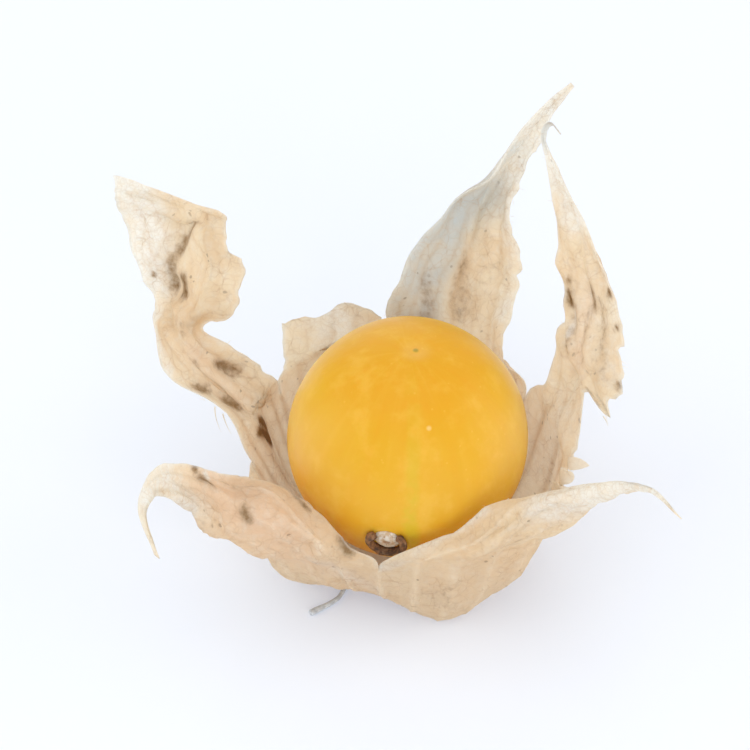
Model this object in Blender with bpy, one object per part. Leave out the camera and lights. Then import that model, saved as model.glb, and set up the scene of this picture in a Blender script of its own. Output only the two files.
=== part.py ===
"""A ripe ground cherry lying in its dry, papery husk, which has torn open into lobes.

Three pieces: the berry, the husk it grew in, and the husk's stem.
Lengths are in millimetres and become metres where a mesh is made.
The shapes are worked out about the berry's upright axis, with the table at height 0.
Azimuth runs anticlockwise seen from above, from +X (right) through +Y (back).
The finished pieces then move sideways together, so that the origin is under the
middle of the whole.
"""

import bpy
import numpy as np

MM = 0.001

# The berry: a little taller than wide, with a style scar on top and a corky scar low in front
BERRY_RADIUS = 10.25
BERRY_STRETCH = 1.01
BERRY_HEIGHT = 12.8
BERRY_TURNS, BERRY_ROWS = 44, 26
STYLE_DIMPLE, STYLE_DIMPLE_WIDTH = 0.25, 0.11
CORK_AZIMUTH, CORK_ELEVATION = 260.0, -10.5
CORK_RING, CORK_WALL, CORK_PROUD = 1.45, 0.36, 0.9
CORK_GAP = 80.0
CORK_TURNS, CORK_SIDES, CORK_SINK = 18, 8, 0.1

# The husk: one sheet, a cup with five feet that goes up into torn lobes
SHEET = 0.6
TIP_WIDTH = 0.7
BASE_RADIUS, BASE_HEIGHT = 3.2, 1.9
RIM_STATION = 6
CUP_ROWS = (0, 1, 2, 2.6, 3, 3.4, 3.8, 4.2, 4.7, 5.3, 6)
ROWS_PER_STATION = 2.6
RIB, GROOVE, RIB_START = 0.35, -0.5, 3.8
WAVE_HEIGHT, TIP_CALM = 0.28, 3.0
FULL_RELIEF_WIDTH = 0.7

# The cup at some azimuths: foot radius and height, then rim radius and height.
# The feet at 2, 68, 142 and 290 degrees stand on the table.
CUP = (
    (2, 10.2, 0.1, 12.8, 9.6),
    (33, 8.9, 1.3, 12.0, 10.0),
    (68, 10.2, 0.1, 13.2, 10.0),
    (100, 8.7, 1.3, 12.6, 10.4),
    (122, 9.3, 0.9, 13.0, 9.6),
    (142, 10.2, 0.1, 13.3, 9.5),
    (178, 8.7, 1.3, 12.9, 9.0),
    (210, 9.9, 0.3, 14.2, 6.2),
    (235, 8.7, 1.7, 12.8, 8.3),
    (258, 8.5, 1.6, 11.7, 8.8),
    (290, 10.2, 0.1, 12.3, 9.3),
    (318, 9.9, 0.9, 14.0, 9.4),
    (340, 9.9, 0.9, 13.3, 10.2),
)

# Each lobe: its rails' azimuths where they leave the cup, then stations up to the tip.
# A station gives one point on each rail, as x, y, z from the berry's foot. Crease says
# how far the sheet folds along its rails instead of curving, from 0 to 1. Ribs tells which
# columns stand out. Pleat is the depth of the groove where the lobe leaves the cup.
# Tear is how deep the torn edges are cut, in rails, along the first and the last rail.
LOBES = {
    "front_right": {
        "azimuths": (258, 290, 318, 340),
        "columns": 12,
        "crease": 0.3,
        "ribs": {4: RIB, 8: RIB},
        "pleat": 0.0,
        "tear": (0.02, 0.05),
        "stations": (
            ((3.6, -11.0, 13.3), (6.6, -12.9, 13.6), (11.3, -10.4, 11.8), (12.5, -5.7, 10.1)),
            ((7.5, -9.8, 15.8), (10.5, -12.2, 17.7), (14.1, -12.2, 17.7), (14.9, -7.8, 13.6)),
            ((12.2, -11.3, 18.6), (14.5, -13.2, 20.9), (16.1, -14.1, 21.4), (16.8, -10.7, 17.8)),
            ((16.0, -13.5, 22.0), (17.3, -14.9, 23.5), (18.1, -15.9, 23.9), (18.4, -13.8, 21.8)),
            ((18.7, -17.1, 25.5), (19.0, -17.6, 25.7), (19.1, -18.2, 25.8), (19.1, -17.2, 25.0)),
            ((20.7, -21.4, 26.9),),
        ),
    },
    "right": {
        "azimuths": (-20, 4, 33),
        "columns": 10,
        "crease": 0.7,
        "ribs": {5: RIB},
        "pleat": 0.0,
        "tear": (0.05, 0.012),
        "stations": (
            ((14.1, -2.9, 12.6), (13.0, 1.4, 12.8), (11.8, 4.9, 14.7)),
            ((15.3, 1.2, 16.7), (14.1, 3.4, 16.1), (12.8, 7.3, 17.1)),
            ((16.7, -1.5, 16.9), (14.4, 3.9, 17.2), (13.2, 8.2, 18.4)),
            ((17.9, -0.3, 19.5), (14.7, 4.9, 18.9), (13.3, 9.3, 19.7)),
            ((18.3, 2.1, 21.8), (15.0, 7.3, 21.9), (13.2, 10.9, 22.0)),
            ((16.8, 5.7, 25.2), (14.7, 10.0, 25.2), (12.7, 12.0, 24.4)),
            ((14.6, 10.3, 28.3), (13.6, 12.7, 28.5), (12.1, 14.1, 27.8)),
            ((12.3, 13.6, 31.2), (12.0, 14.8, 31.4), (11.5, 15.5, 31.3)),
            ((11.6, 15.7, 32.8), (11.5, 16.0, 33.0), (11.3, 16.3, 32.8)),
            ((12.1, 16.6, 33.2), (12.0, 16.8, 33.2), (11.9, 17.1, 33.1)),
            ((12.7, 16.4, 32.6),),
        ),
    },
    "back": {
        "azimuths": (33, 66, 100),
        "columns": 10,
        "crease": 0.6,
        "ribs": {2: RIB, 5: RIB, 8: RIB},
        "pleat": 0.0,
        "tear": (0.025, 0.01),
        "stations": (
            ((8.7, 8.6, 12.8), (4.9, 12.6, 12.4), (-1.9, 12.4, 15.1)),
            ((9.2, 11.4, 15.5), (4.9, 16.1, 14.5), (-1.1, 13.8, 17.8)),
            ((10.2, 14.7, 18.0), (5.4, 18.6, 17.6), (1.5, 16.5, 20.4)),
            ((9.2, 16.8, 21.4), (6.8, 20.3, 21.2), (4.5, 18.2, 23.4)),
            ((10.1, 19.5, 24.7), (8.7, 21.6, 24.6), (7.5, 19.8, 25.7)),
            ((11.6, 21.0, 27.5), (10.8, 22.5, 27.6), (10.1, 22.0, 28.5)),
            ((12.8, 22.9, 29.4), (12.5, 23.7, 29.4), (12.1, 23.5, 30.0)),
            ((14.3, 24.6, 31.0),),
        ),
    },
    "flap": {
        "azimuths": (100, 115, 130, 145),
        "columns": 6,
        "crease": 0.2,
        "ribs": {3: RIB},
        "pleat": 0.0,
        "tear": (0.08, 0.08),
        "stations": (
            ((-2.0, 12.2, 12.4), (-4.9, 12.4, 12.6), (-7.9, 12.2, 11.6), (-10.9, 11.0, 10.9)),
            ((-2.2, 13.2, 13.9), (-4.9, 13.9, 15.2), (-8.0, 14.0, 13.4), (-11.1, 14.2, 12.6)),
        ),
    },
    "left": {
        "azimuths": (145, 157, 168, 180),
        "columns": 9,
        "crease": 0.8,
        "ribs": {3: RIB, 6: GROOVE},
        "pleat": 0.0,
        "tear": (0.04, 0.01),
        "stations": (
            ((-11.7, 7.2, 12.8), (-13.0, 6.4, 11.4), (-14.4, 4.3, 11.4), (-15.8, 1.9, 13.3)),
            ((-14.7, 7.5, 15.9), (-16.1, 7.3, 14.3), (-18.0, 5.3, 14.5), (-20.3, 3.1, 17.8)),
            ((-17.1, 6.5, 19.1), (-18.4, 7.2, 18.3), (-19.8, 6.4, 18.9), (-21.2, 4.7, 21.5)),
            ((-15.8, 7.7, 18.9), (-18.0, 8.9, 18.7), (-20.2, 6.1, 22.8), (-21.3, 5.6, 23.8)),
            ((-14.3, 10.4, 18.7), (-17.2, 11.0, 19.3), (-20.0, 7.9, 23.6), (-22.2, 7.0, 25.2)),
            ((-14.2, 12.8, 21.0), (-16.9, 12.9, 21.8), (-19.5, 10.1, 25.0), (-23.2, 8.4, 27.1)),
            ((-15.4, 13.5, 23.3), (-16.9, 13.7, 24.0), (-18.5, 12.5, 26.0), (-24.1, 9.8, 29.2)),
            ((-15.4, 13.6, 25.9), (-17.0, 13.1, 26.6), (-19.6, 12.0, 28.1), (-24.4, 10.8, 30.2)),
            ((-18.2, 12.9, 28.0), (-19.8, 12.5, 28.8), (-21.8, 12.1, 29.7), (-24.5, 11.4, 30.8)),
            ((-21.6, 12.4, 30.3), (-22.6, 12.2, 30.6), (-23.6, 12.0, 30.9), (-24.5, 11.8, 31.1)),
            ((-24.4, 12.3, 31.6),),
        ),
    },
    "front_left": {
        "azimuths": (180, 212, 235, 258),
        "columns": 12,
        "crease": 0.3,
        "ribs": {4: RIB, 8: RIB},
        "pleat": 0.4,
        "tear": (0.035, 0.03),
        "stations": (
            ((-12.4, -3.2, 9.7), (-12.1, -9.7, 9.0), (-7.5, -11.8, 12.5), (-5.2, -10.6, 11.6)),
            ((-14.8, -5.5, 11.7), (-14.5, -11.7, 12.7), (-11.5, -10.5, 15.1), (-9.0, -7.7, 13.7)),
            ((-16.7, -7.5, 13.9), (-16.3, -12.8, 15.7), (-15.1, -9.7, 16.0), (-13.1, -6.7, 15.3)),
            ((-18.4, -10.0, 17.1), (-17.9, -12.7, 18.6), (-17.5, -10.0, 18.4), (-16.5, -8.0, 17.6)),
            ((-20.1, -13.1, 21.0), (-20.0, -14.2, 21.4), (-19.9, -12.4, 21.7), (-19.4, -11.0, 21.7)),
            ((-20.4, -16.8, 24.4), (-20.3, -17.5, 24.4), (-20.7, -16.4, 24.8), (-20.7, -15.9, 25.2)),
            ((-20.5, -20.8, 26.1), (-20.4, -20.8, 26.1), (-20.8, -20.6, 26.3), (-21.0, -20.5, 26.4)),
            ((-19.4, -24.2, 25.5),),
        ),
    },
}

# The stem: from under the husk's middle, down to the table and out between two feet
STEM_RADIUS = 0.28
STEM_ROUTE = (
    (0.3, 0.4, 1.1),
    (-1.2, -1.1, 0.75),
    (-3.2, -3.1, 0.4),
    (-5.1, -5.7, 0.3),
    (-6.1, -7.5, 0.3),
    (-8.3, -9.0, 0.3),
)
STEM_POINTS, STEM_SIDES, STEM_WAIST = 26, 10, 0.25


def smoothstep(x):
    """0 up to x = 0 and 1 from x = 1, with level ends."""
    x = np.clip(x, 0, 1)
    return x * x * (3 - 2 * x)


def curve_through(knots, values, at):
    """The cubic curve through values at knots, its slope at each set by the two beside it."""
    knots = np.asarray(knots, float)
    values = np.asarray(values, float)
    slope = np.gradient(values, knots, axis=0)
    i = np.clip(np.searchsorted(knots, at, "right") - 1, 0, len(knots) - 2)
    step = (knots[i + 1] - knots[i]).reshape(np.shape(at) + (1,) * (values.ndim - 1))
    t = (at - knots[i]).reshape(step.shape) / step
    start = (1 + 2 * t) * (1 - t) ** 2 * values[i] + t * (1 - t) ** 2 * step * slope[i]
    end = t * t * (3 - 2 * t) * values[i + 1] + t * t * (t - 1) * step * slope[i + 1]
    return start + end


def cup_sizes(azimuth):
    """Foot radius and height, rim radius and height, at each azimuth in degrees."""
    table = np.array(CUP, float)
    knots = np.concatenate([table[:, 0] - 360, table[:, 0], table[:, 0] + 360])
    return curve_through(knots, np.tile(table[:, 1:], (3, 1)), azimuth)


def cup_stations(azimuth):
    """The cup's profile at each azimuth: seven points, from the middle to the rim."""
    foot, low, rim, high = cup_sizes(azimuth).T
    nothing = np.zeros_like(foot)
    radius = np.stack(
        [
            nothing,
            nothing + BASE_RADIUS,
            0.62 * foot,
            0.86 * foot,
            foot,
            0.55 * foot + 0.45 * rim + 0.4,
            rim,
        ]
    )
    height = np.stack(
        [
            nothing + BASE_HEIGHT,
            nothing + BASE_HEIGHT - 0.1,
            0.6 * low + 0.7,
            low,
            low + 0.2,
            0.6 * low + 0.4 * high,
            high,
        ]
    )
    turn = np.radians(azimuth)
    return np.stack([radius * np.cos(turn), radius * np.sin(turn), height], axis=-1)


def cup(azimuth, station):
    """Points of the cup on a grid of stations by azimuths, straight on past the rim."""
    profile = cup_stations(azimuth)
    inside = np.minimum(station, RIM_STATION)
    points = curve_through(np.arange(len(profile)), profile, inside)
    past = np.maximum(station - RIM_STATION, 0)[:, None, None]
    return points + past * (profile[RIM_STATION] - profile[RIM_STATION - 1])


def across(net, place, crease):
    """The net's rails read at places between them, part smooth and part straight."""
    rails = np.arange(net.shape[1])
    smooth = curve_through(rails, np.swapaxes(net, 0, 1), place)
    low = np.clip(place.astype(int), 0, net.shape[1] - 2)
    share = (place - low)[:, None, None]
    by_rail = np.swapaxes(net, 0, 1)
    straight = (1 - share) * by_rail[low] + share * by_rail[low + 1]
    return np.swapaxes((1 - crease) * smooth + crease * straight, 0, 1)


def lobe_net(lobe):
    """The lobe's stations as an array, with the single point at its tip made a short edge."""
    azimuths = np.array(lobe["azimuths"], float)
    stations = [np.array(station, float) for station in lobe["stations"]]
    if len(stations[-1]) == 1:
        side = stations[-2][-1] - stations[-2][0]
        side *= TIP_WIDTH / np.linalg.norm(side)
        spread = np.linspace(-0.5, 0.5, len(azimuths))[:, None]
        stations[-1] = stations[-1] + spread * side
    start = cup_stations(azimuths)[RIM_STATION - 1 :]
    return np.concatenate([start, np.array(stations)])


def torn(station, seed):
    """The share of its depth to which a torn edge is cut, along the lobe."""
    waves = np.sin(5.3 * station + seed) + 0.7 * np.sin(9.1 * station + 2.3 * seed)
    waves += 0.5 * np.sin(15.7 * station + 4.1 * seed)
    return (waves + 1.4) * smoothstep(2 * (station - RIM_STATION - 0.3))


def relief(lobe, number, grid, station, share):
    """How far the sheet stands out: ribs, broad waves past the rim and the pleat at it.

    Ribs and waves are lower where the lobe is narrow, and the waves die away in the last
    few stations before the tip.
    """
    width = np.linalg.norm(grid[:, -1] - grid[:, 0], axis=1) / lobe["columns"]
    room = smoothstep(width / FULL_RELIEF_WIDTH)[:, None]
    station = station[:, None]
    height = np.zeros(grid.shape[:2])
    for column, rib in lobe["ribs"].items():
        ridge = np.maximum(1 - np.abs(share * lobe["columns"] - column), 0)
        height += rib * ridge * smoothstep(station - RIB_START) * room
    waves = np.sin(2.1 * station + 5.2 * share + number)
    waves = waves + 0.7 * np.sin(4.3 * station - 8.5 * share + 2 * number)
    calm = smoothstep((station[-1] - station) / TIP_CALM)
    height += WAVE_HEIGHT * waves * smoothstep(station - RIM_STATION) * room * calm
    pleat = np.maximum(1 - 2 * np.abs(station - RIM_STATION), 0)
    return height - lobe["pleat"] * pleat * np.sin(np.pi * share) ** 2


def lobe_grid(number, lobe):
    """One lobe with its slice of the cup: a grid of points, and how far each stands out.

    Up to the rim it is the cup. In the next station the cup's straight run fades into
    the lobe's own net, and past that it is the net, read between torn edges.
    """
    net = lobe_net(lobe)
    rails = np.array(lobe["azimuths"], float)
    last = RIM_STATION - 2 + len(net)
    count = round(ROWS_PER_STATION * (last - RIM_STATION))
    station = np.append(CUP_ROWS, np.linspace(RIM_STATION, last, count + 1)[1:])
    share = np.linspace(0, 1, lobe["columns"] + 1)
    taper = smoothstep((last - station) / 1.5)
    low = lobe["tear"][0] * torn(station, number + 1.0) * taper
    high = lobe["tear"][1] * torn(station, number + 7.5) * taper
    knots = np.arange(RIM_STATION - 1, RIM_STATION - 1 + len(net))
    rows = []
    for s, first, final in zip(station, low, len(rails) - 1 - high):
        place = first + (final - first) * share
        row = cup(np.interp(place, np.arange(len(rails)), rails), np.array([s]))[0]
        if s > RIM_STATION:
            own = curve_through(knots, across(net, place, lobe["crease"]), np.array([s]))[0]
            fade = smoothstep(s - RIM_STATION)
            row = (1 - fade) * row + fade * own
        rows.append(row)
    grid = np.array(rows)
    return grid, relief(lobe, number, grid, station, share)


def grid_faces(rows, columns, first):
    """Two triangles for each cell of a grid whose first point has the number first."""
    corner = first + np.arange(rows - 1)[:, None] * columns + np.arange(columns - 1)
    a, b, c, d = corner, corner + 1, corner + columns + 1, corner + columns
    lower = np.stack([a, b, c], axis=-1).reshape(-1, 3)
    upper = np.stack([a, c, d], axis=-1).reshape(-1, 3)
    return np.concatenate([lower, upper])


def weld(points, faces):
    """Points that coincide become one, and triangles that collapse are left out.

    It also tells which of the old points each new one is.
    """
    _, first, index = np.unique(
        np.round(points, 5), axis=0, return_index=True, return_inverse=True
    )
    faces = index.reshape(-1)[faces]
    whole = (faces != np.roll(faces, 1, axis=1)).all(axis=1)
    return points[first], faces[whole], first


def normals(points, faces):
    """The unit normal at each point, from the triangles round it."""
    corners = points[faces]
    face_normal = np.cross(corners[:, 1] - corners[:, 0], corners[:, 2] - corners[:, 0])
    normal = np.zeros_like(points)
    for corner in range(3):
        np.add.at(normal, faces[:, corner], face_normal)
    return normal / np.linalg.norm(normal, axis=1, keepdims=True)


def thicken(points, faces, thickness):
    """A sheet's closed solid: both sides half the thickness off it, joined round the edge."""
    normal = normals(points, faces)
    ends = np.concatenate([faces[:, [0, 1]], faces[:, [1, 2]], faces[:, [2, 0]]])
    number = ends[:, 0] * len(points) + ends[:, 1]
    back = ends[:, 1] * len(points) + ends[:, 0]
    a, b = ends[~np.isin(back, number)].T
    under = len(points)
    sides = np.concatenate(
        [np.stack([b, a, a + under], axis=1), np.stack([b, a + under, b + under], axis=1)]
    )
    solid = np.concatenate([points + normal * thickness / 2, points - normal * thickness / 2])
    return solid, np.concatenate([faces, faces[:, ::-1] + under, sides])


def husk_solid():
    """The husk's points and triangles: all lobes welded along the cup, then thickened."""
    points, heights, faces, first = [], [], [], 0
    for number, lobe in enumerate(LOBES.values()):
        grid, height = lobe_grid(number, lobe)
        points.append(grid.reshape(-1, 3))
        heights.append(height.reshape(-1, 1))
        faces.append(grid_faces(*height.shape, first))
        first += height.size
    points, faces, kept = weld(np.concatenate(points), np.concatenate(faces))
    points += normals(points, faces) * np.concatenate(heights)[kept]
    points, faces = thicken(points, faces, SHEET)
    points[:, 2] = np.maximum(points[:, 2], 0)
    return points, faces


def berry_solid():
    """A round grid closed at both poles, drawn in a little round the style scar on top."""
    turn = np.linspace(0, 2 * np.pi, BERRY_TURNS + 1)
    tilt = np.linspace(0, np.pi, BERRY_ROWS + 1)[:, None]
    dimple = STYLE_DIMPLE * np.exp(-((tilt / STYLE_DIMPLE_WIDTH) ** 2))
    radius = BERRY_RADIUS - dimple
    x = radius * np.sin(tilt) * np.cos(turn)
    y = radius * np.sin(tilt) * np.sin(turn)
    z = BERRY_HEIGHT + BERRY_STRETCH * radius * np.cos(tilt) + 0 * turn
    points = np.stack([x, y, z], axis=-1).reshape(-1, 3)
    faces = grid_faces(BERRY_ROWS + 1, BERRY_TURNS + 1, 0)[:, ::-1]
    return weld(points, faces)[:2]


def tube(path, radius, sides, side_axis):
    """A closed tube of changing radius along a path of points, with flat ends."""
    along = np.gradient(path, axis=0)
    along /= np.linalg.norm(along, axis=1, keepdims=True)
    across_path = np.cross(along, side_axis)
    across_path /= np.linalg.norm(across_path, axis=1, keepdims=True)
    over = np.cross(across_path, along)
    turn = np.linspace(0, 2 * np.pi, sides + 1)[:, None, None]
    wall = path + radius[:, None] * (np.cos(turn) * across_path + np.sin(turn) * over)
    wall = np.swapaxes(wall, 0, 1)
    first = np.repeat(path[:1, None], sides + 1, axis=1)
    last = np.repeat(path[-1:, None], sides + 1, axis=1)
    grid = np.concatenate([first, wall, last])
    faces = grid_faces(len(grid), sides + 1, 0)[:, ::-1]
    return weld(grid.reshape(-1, 3), faces)[:2]


def cork_solid():
    """The corky scar: a torn ring, open at the top, that stands out of the berry's skin."""
    azimuth, elevation = np.radians([CORK_AZIMUTH, CORK_ELEVATION])
    level = np.cos(elevation)
    out = np.array([level * np.cos(azimuth), level * np.sin(azimuth), np.sin(elevation)])
    right = np.cross([0, 0, 1], out)
    right /= np.linalg.norm(right)
    up = np.cross(out, right)
    turn = np.linspace(90 + CORK_GAP / 2, 450 - CORK_GAP / 2, CORK_TURNS + 1)
    turn = np.radians(turn)[:, None]
    proud = CORK_PROUD * (0.28 + 0.12 * np.cos(2 * turn) ** 2)
    path = np.array([0, 0, BERRY_HEIGHT]) + out * (BERRY_RADIUS - CORK_SINK + proud)
    path += CORK_RING * (np.cos(turn) * right + np.sin(turn) * up)
    radius = CORK_WALL * (1 + 0.15 * np.sin(3 * turn[:, 0]))
    return tube(path, radius, CORK_SIDES, out)


def stem_solid():
    """The thin stem, a little slimmer between its two ends."""
    knots = np.arange(len(STEM_ROUTE))
    place = np.linspace(0, knots[-1], STEM_POINTS)
    path = curve_through(knots, np.array(STEM_ROUTE), place)
    waist = STEM_WAIST * smoothstep(place / 2) * smoothstep(knots[-1] - place)
    return tube(path, STEM_RADIUS * (1 - waist), STEM_SIDES, np.array([0, 0, 1.0]))


def material(name, colour, roughness):
    made = bpy.data.materials.new(name)
    made.use_nodes = True
    shader = made.node_tree.nodes["Principled BSDF"]
    shader.inputs["Base Color"].default_value = (*colour, 1)
    shader.inputs["Roughness"].default_value = roughness
    shader.inputs["Metallic"].default_value = 0
    return made


def add_object(name, solid, skin, place):
    """A smooth-shaded object of the solid, set down at a place given in millimetres."""
    points, faces = solid
    mesh = bpy.data.meshes.new(name)
    mesh.from_pydata((points * MM).tolist(), [], faces.tolist())
    mesh.materials.append(skin)
    mesh.shade_smooth()
    made = bpy.data.objects.new(name, mesh)
    made.location = place * MM
    bpy.context.collection.objects.link(made)
    return made


def main():
    for old in list(bpy.data.objects):
        bpy.data.objects.remove(old)
    husk = husk_solid()
    low, high = husk[0].min(axis=0), husk[0].max(axis=0)
    place = np.array([-(low[0] + high[0]) / 2, -(low[1] + high[1]) / 2, 0])
    golden = material("golden skin", (0.85, 0.45, 0.03), 0.35)
    paper = material("dry husk", (0.72, 0.55, 0.36), 0.8)
    bark = material("grey stem", (0.42, 0.40, 0.37), 0.85)
    berry = add_object("berry", berry_solid(), golden, place)
    cork = add_object("cork_ring", cork_solid(), golden, place)
    cork.hide_render = True
    cork.display_type = "WIRE"
    join = berry.modifiers.new("cork ring", "BOOLEAN")
    join.operation = "UNION"
    join.object = cork
    add_object("husk", husk, paper, place)
    add_object("stem", stem_solid(), bark, place)


main()
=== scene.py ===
"""The looks of a ground cherry lying in its dry, torn-open husk.

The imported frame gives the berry's place. This script makes the berry's skin, its corky
scar, the husk's sheet with ribs and veins, its loose fibres and the stem, gives each its
material, and sets a plain stage round them.

Lengths are in millimetres and become metres where a mesh is made. Shapes are worked out
about the berry's upright axis, with the table at height 0. Azimuth runs anticlockwise
seen from above, from +X (right) through +Y (back).
"""

import bpy
import numpy as np
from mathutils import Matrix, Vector


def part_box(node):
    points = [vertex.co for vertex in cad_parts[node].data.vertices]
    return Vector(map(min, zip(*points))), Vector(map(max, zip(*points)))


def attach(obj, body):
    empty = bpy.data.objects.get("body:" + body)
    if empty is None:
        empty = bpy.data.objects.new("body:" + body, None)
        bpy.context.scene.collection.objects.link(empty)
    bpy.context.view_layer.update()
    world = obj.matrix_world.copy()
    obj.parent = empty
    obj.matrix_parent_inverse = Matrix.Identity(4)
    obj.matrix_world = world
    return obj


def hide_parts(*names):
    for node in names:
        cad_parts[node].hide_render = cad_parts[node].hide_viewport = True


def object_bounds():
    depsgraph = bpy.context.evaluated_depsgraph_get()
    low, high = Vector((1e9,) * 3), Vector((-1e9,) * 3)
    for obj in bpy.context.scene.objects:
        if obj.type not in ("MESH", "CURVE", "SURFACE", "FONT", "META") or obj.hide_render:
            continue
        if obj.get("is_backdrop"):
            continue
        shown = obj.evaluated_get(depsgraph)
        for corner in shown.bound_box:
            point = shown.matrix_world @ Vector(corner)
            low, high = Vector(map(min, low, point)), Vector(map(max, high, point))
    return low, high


bl_info = {
    "name": "Ground cherry in its husk",
    "version": (1, 0, 0),
    "blender": (4, 5, 0),
    "location": "View3D > Sidebar > Ground cherry",
    "description": "Makes a golden berry in its dry, torn-open husk, and a plain stage",
    "category": "Object",
}

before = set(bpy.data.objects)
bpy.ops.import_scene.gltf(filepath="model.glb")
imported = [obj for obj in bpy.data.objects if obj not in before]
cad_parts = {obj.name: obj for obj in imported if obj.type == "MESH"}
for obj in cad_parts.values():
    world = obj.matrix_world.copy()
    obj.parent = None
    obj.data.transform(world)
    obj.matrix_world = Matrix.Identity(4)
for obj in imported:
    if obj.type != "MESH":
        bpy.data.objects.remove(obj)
CAD_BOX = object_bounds()

MM = 0.001
BERRY_LOW, BERRY_HIGH = (np.array(corner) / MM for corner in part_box("berry"))
BERRY_RADIUS = (BERRY_HIGH[0] - BERRY_LOW[0]) / 2
AXIS = np.array([BERRY_LOW[0] + BERRY_RADIUS, BERRY_HIGH[1] - BERRY_RADIUS, 0])

# The berry
BERRY_STRETCH = 1.01
BERRY_HEIGHT = BERRY_LOW[2] + BERRY_STRETCH * BERRY_RADIUS
BERRY_TURNS, BERRY_ROWS = 220, 140
STYLE_SIDE = (0.06, 0.04, 1)
STYLE_DIMPLE, STYLE_DIMPLE_WIDTH = 0.25, 0.11
STYLE_DOT, STYLE_DOT_WIDTH = 0.09, 0.022
FLAT_SIDE, FLAT_DEPTH, FLAT_WIDTH = (-0.7, 0.5, 0.49), 0.16, 0.5
SADDLE_DEPTH, SADDLE_WIDTH = 0.12, 0.16
SKIN_SWELLINGS = ((0.45, 0.035),)
# Where the painted highlight spot sits on the skin
PAINTED_GLINT_SIDE = (0.16, -0.62, 0.77)
# The direction towards the camera, round which the painted pale sheen follows the berry's outline
CAMERA_SIDE = (0.0, -0.695, 0.719)

# The corky scar. Its ring rises off the skin by a level height, more at its four corners
# and at its two horns. Rough and lumps give each noise's size and height.
CORK_AZIMUTH, CORK_ELEVATION = 260.0, -10.5
CORK_RING, CORK_WALL, CORK_TALL = 1.47, 0.264, 1.55
CORK_RISE, HORN_POWER = (0.27, 0.108, 0.27), 5
CORK_GAP, CORK_SINK = 80.0, 0.1
CORK_WOBBLE, CORK_SWINGS, CORK_UNEVEN = 0.05, 9, 0.15
CORK_TAPER, CORK_TAPERS = 0.35, 8
CORK_ROUGH = ((0.6, 0.09), (0.25, 0.06))
CORK_POINTS, CORK_SIDES = 101, 24
PAD_RADIUS, PAD_PROUD = 1.12, 0.4
PAD_LUMPS, PAD_OUTLINE = ((0.5, 0.22), (0.2, 0.12)), ((0.7, 0.08),)
PAD_TURNS, PAD_ROWS = 60, 40

# The husk's net: the same named points as the solid's
TIP_WIDTH = 0.5
RIM_STATION = 6
RIB, GROOVE, RIB_START, PLEAT_REACH = 0.35, -0.5, 3.8, 0.5
FULL_RELIEF_WIDTH = 0.7
CUP_SPLITS = ((0, 2, 4), (2, 3.2, 6), (3.2, 6, 30))
ROW_LENGTH = 0.33
COLUMN_SPLIT = 5

# Broad waves: swings along and across, phase from lobe to lobe, and share of the height
WAVE_HEIGHT = 0.28
WAVES = ((2.1, 5.2, 1, 1.0), (4.3, -8.5, 2, 0.7))

# The cup at some azimuths: foot radius and height, then rim radius and height
CUP = (
    (2, 10.2, 0.1, 12.8, 9.6),
    (33, 8.9, 1.3, 12.0, 10.0),
    (68, 10.2, 0.1, 13.2, 10.0),
    (100, 8.7, 1.3, 12.6, 10.4),
    (122, 9.3, 0.9, 13.0, 9.6),
    (142, 10.2, 0.1, 13.3, 9.5),
    (178, 8.7, 1.3, 12.9, 9.0),
    (210, 9.9, 0.3, 14.2, 6.2),
    (235, 8.7, 1.7, 12.8, 8.3),
    (258, 8.5, 1.6, 11.7, 8.8),
    (290, 10.2, 0.1, 12.3, 9.3),
    (318, 9.9, 0.9, 14.0, 9.4),
    (340, 9.9, 0.9, 13.3, 10.2),
)

# The cup's profile from its middle to its rim, one line a point: the shares of the foot's
# and the rim's radius that its radius takes and what is added, then its height likewise
CUP_PROFILE = (
    (0, 0, 0, 0, 0, 1.9),
    (0, 0, 3.2, 0, 0, 1.8),
    (0.62, 0, 0, 0.6, 0, 0.7),
    (0.86, 0, 0, 1, 0, 0),
    (1, 0, 0, 1, 0, 0.2),
    (0.55, 0.45, 0.4, 0.6, 0.4, 0),
    (0, 1, 0, 0, 1, 0),
)

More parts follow.
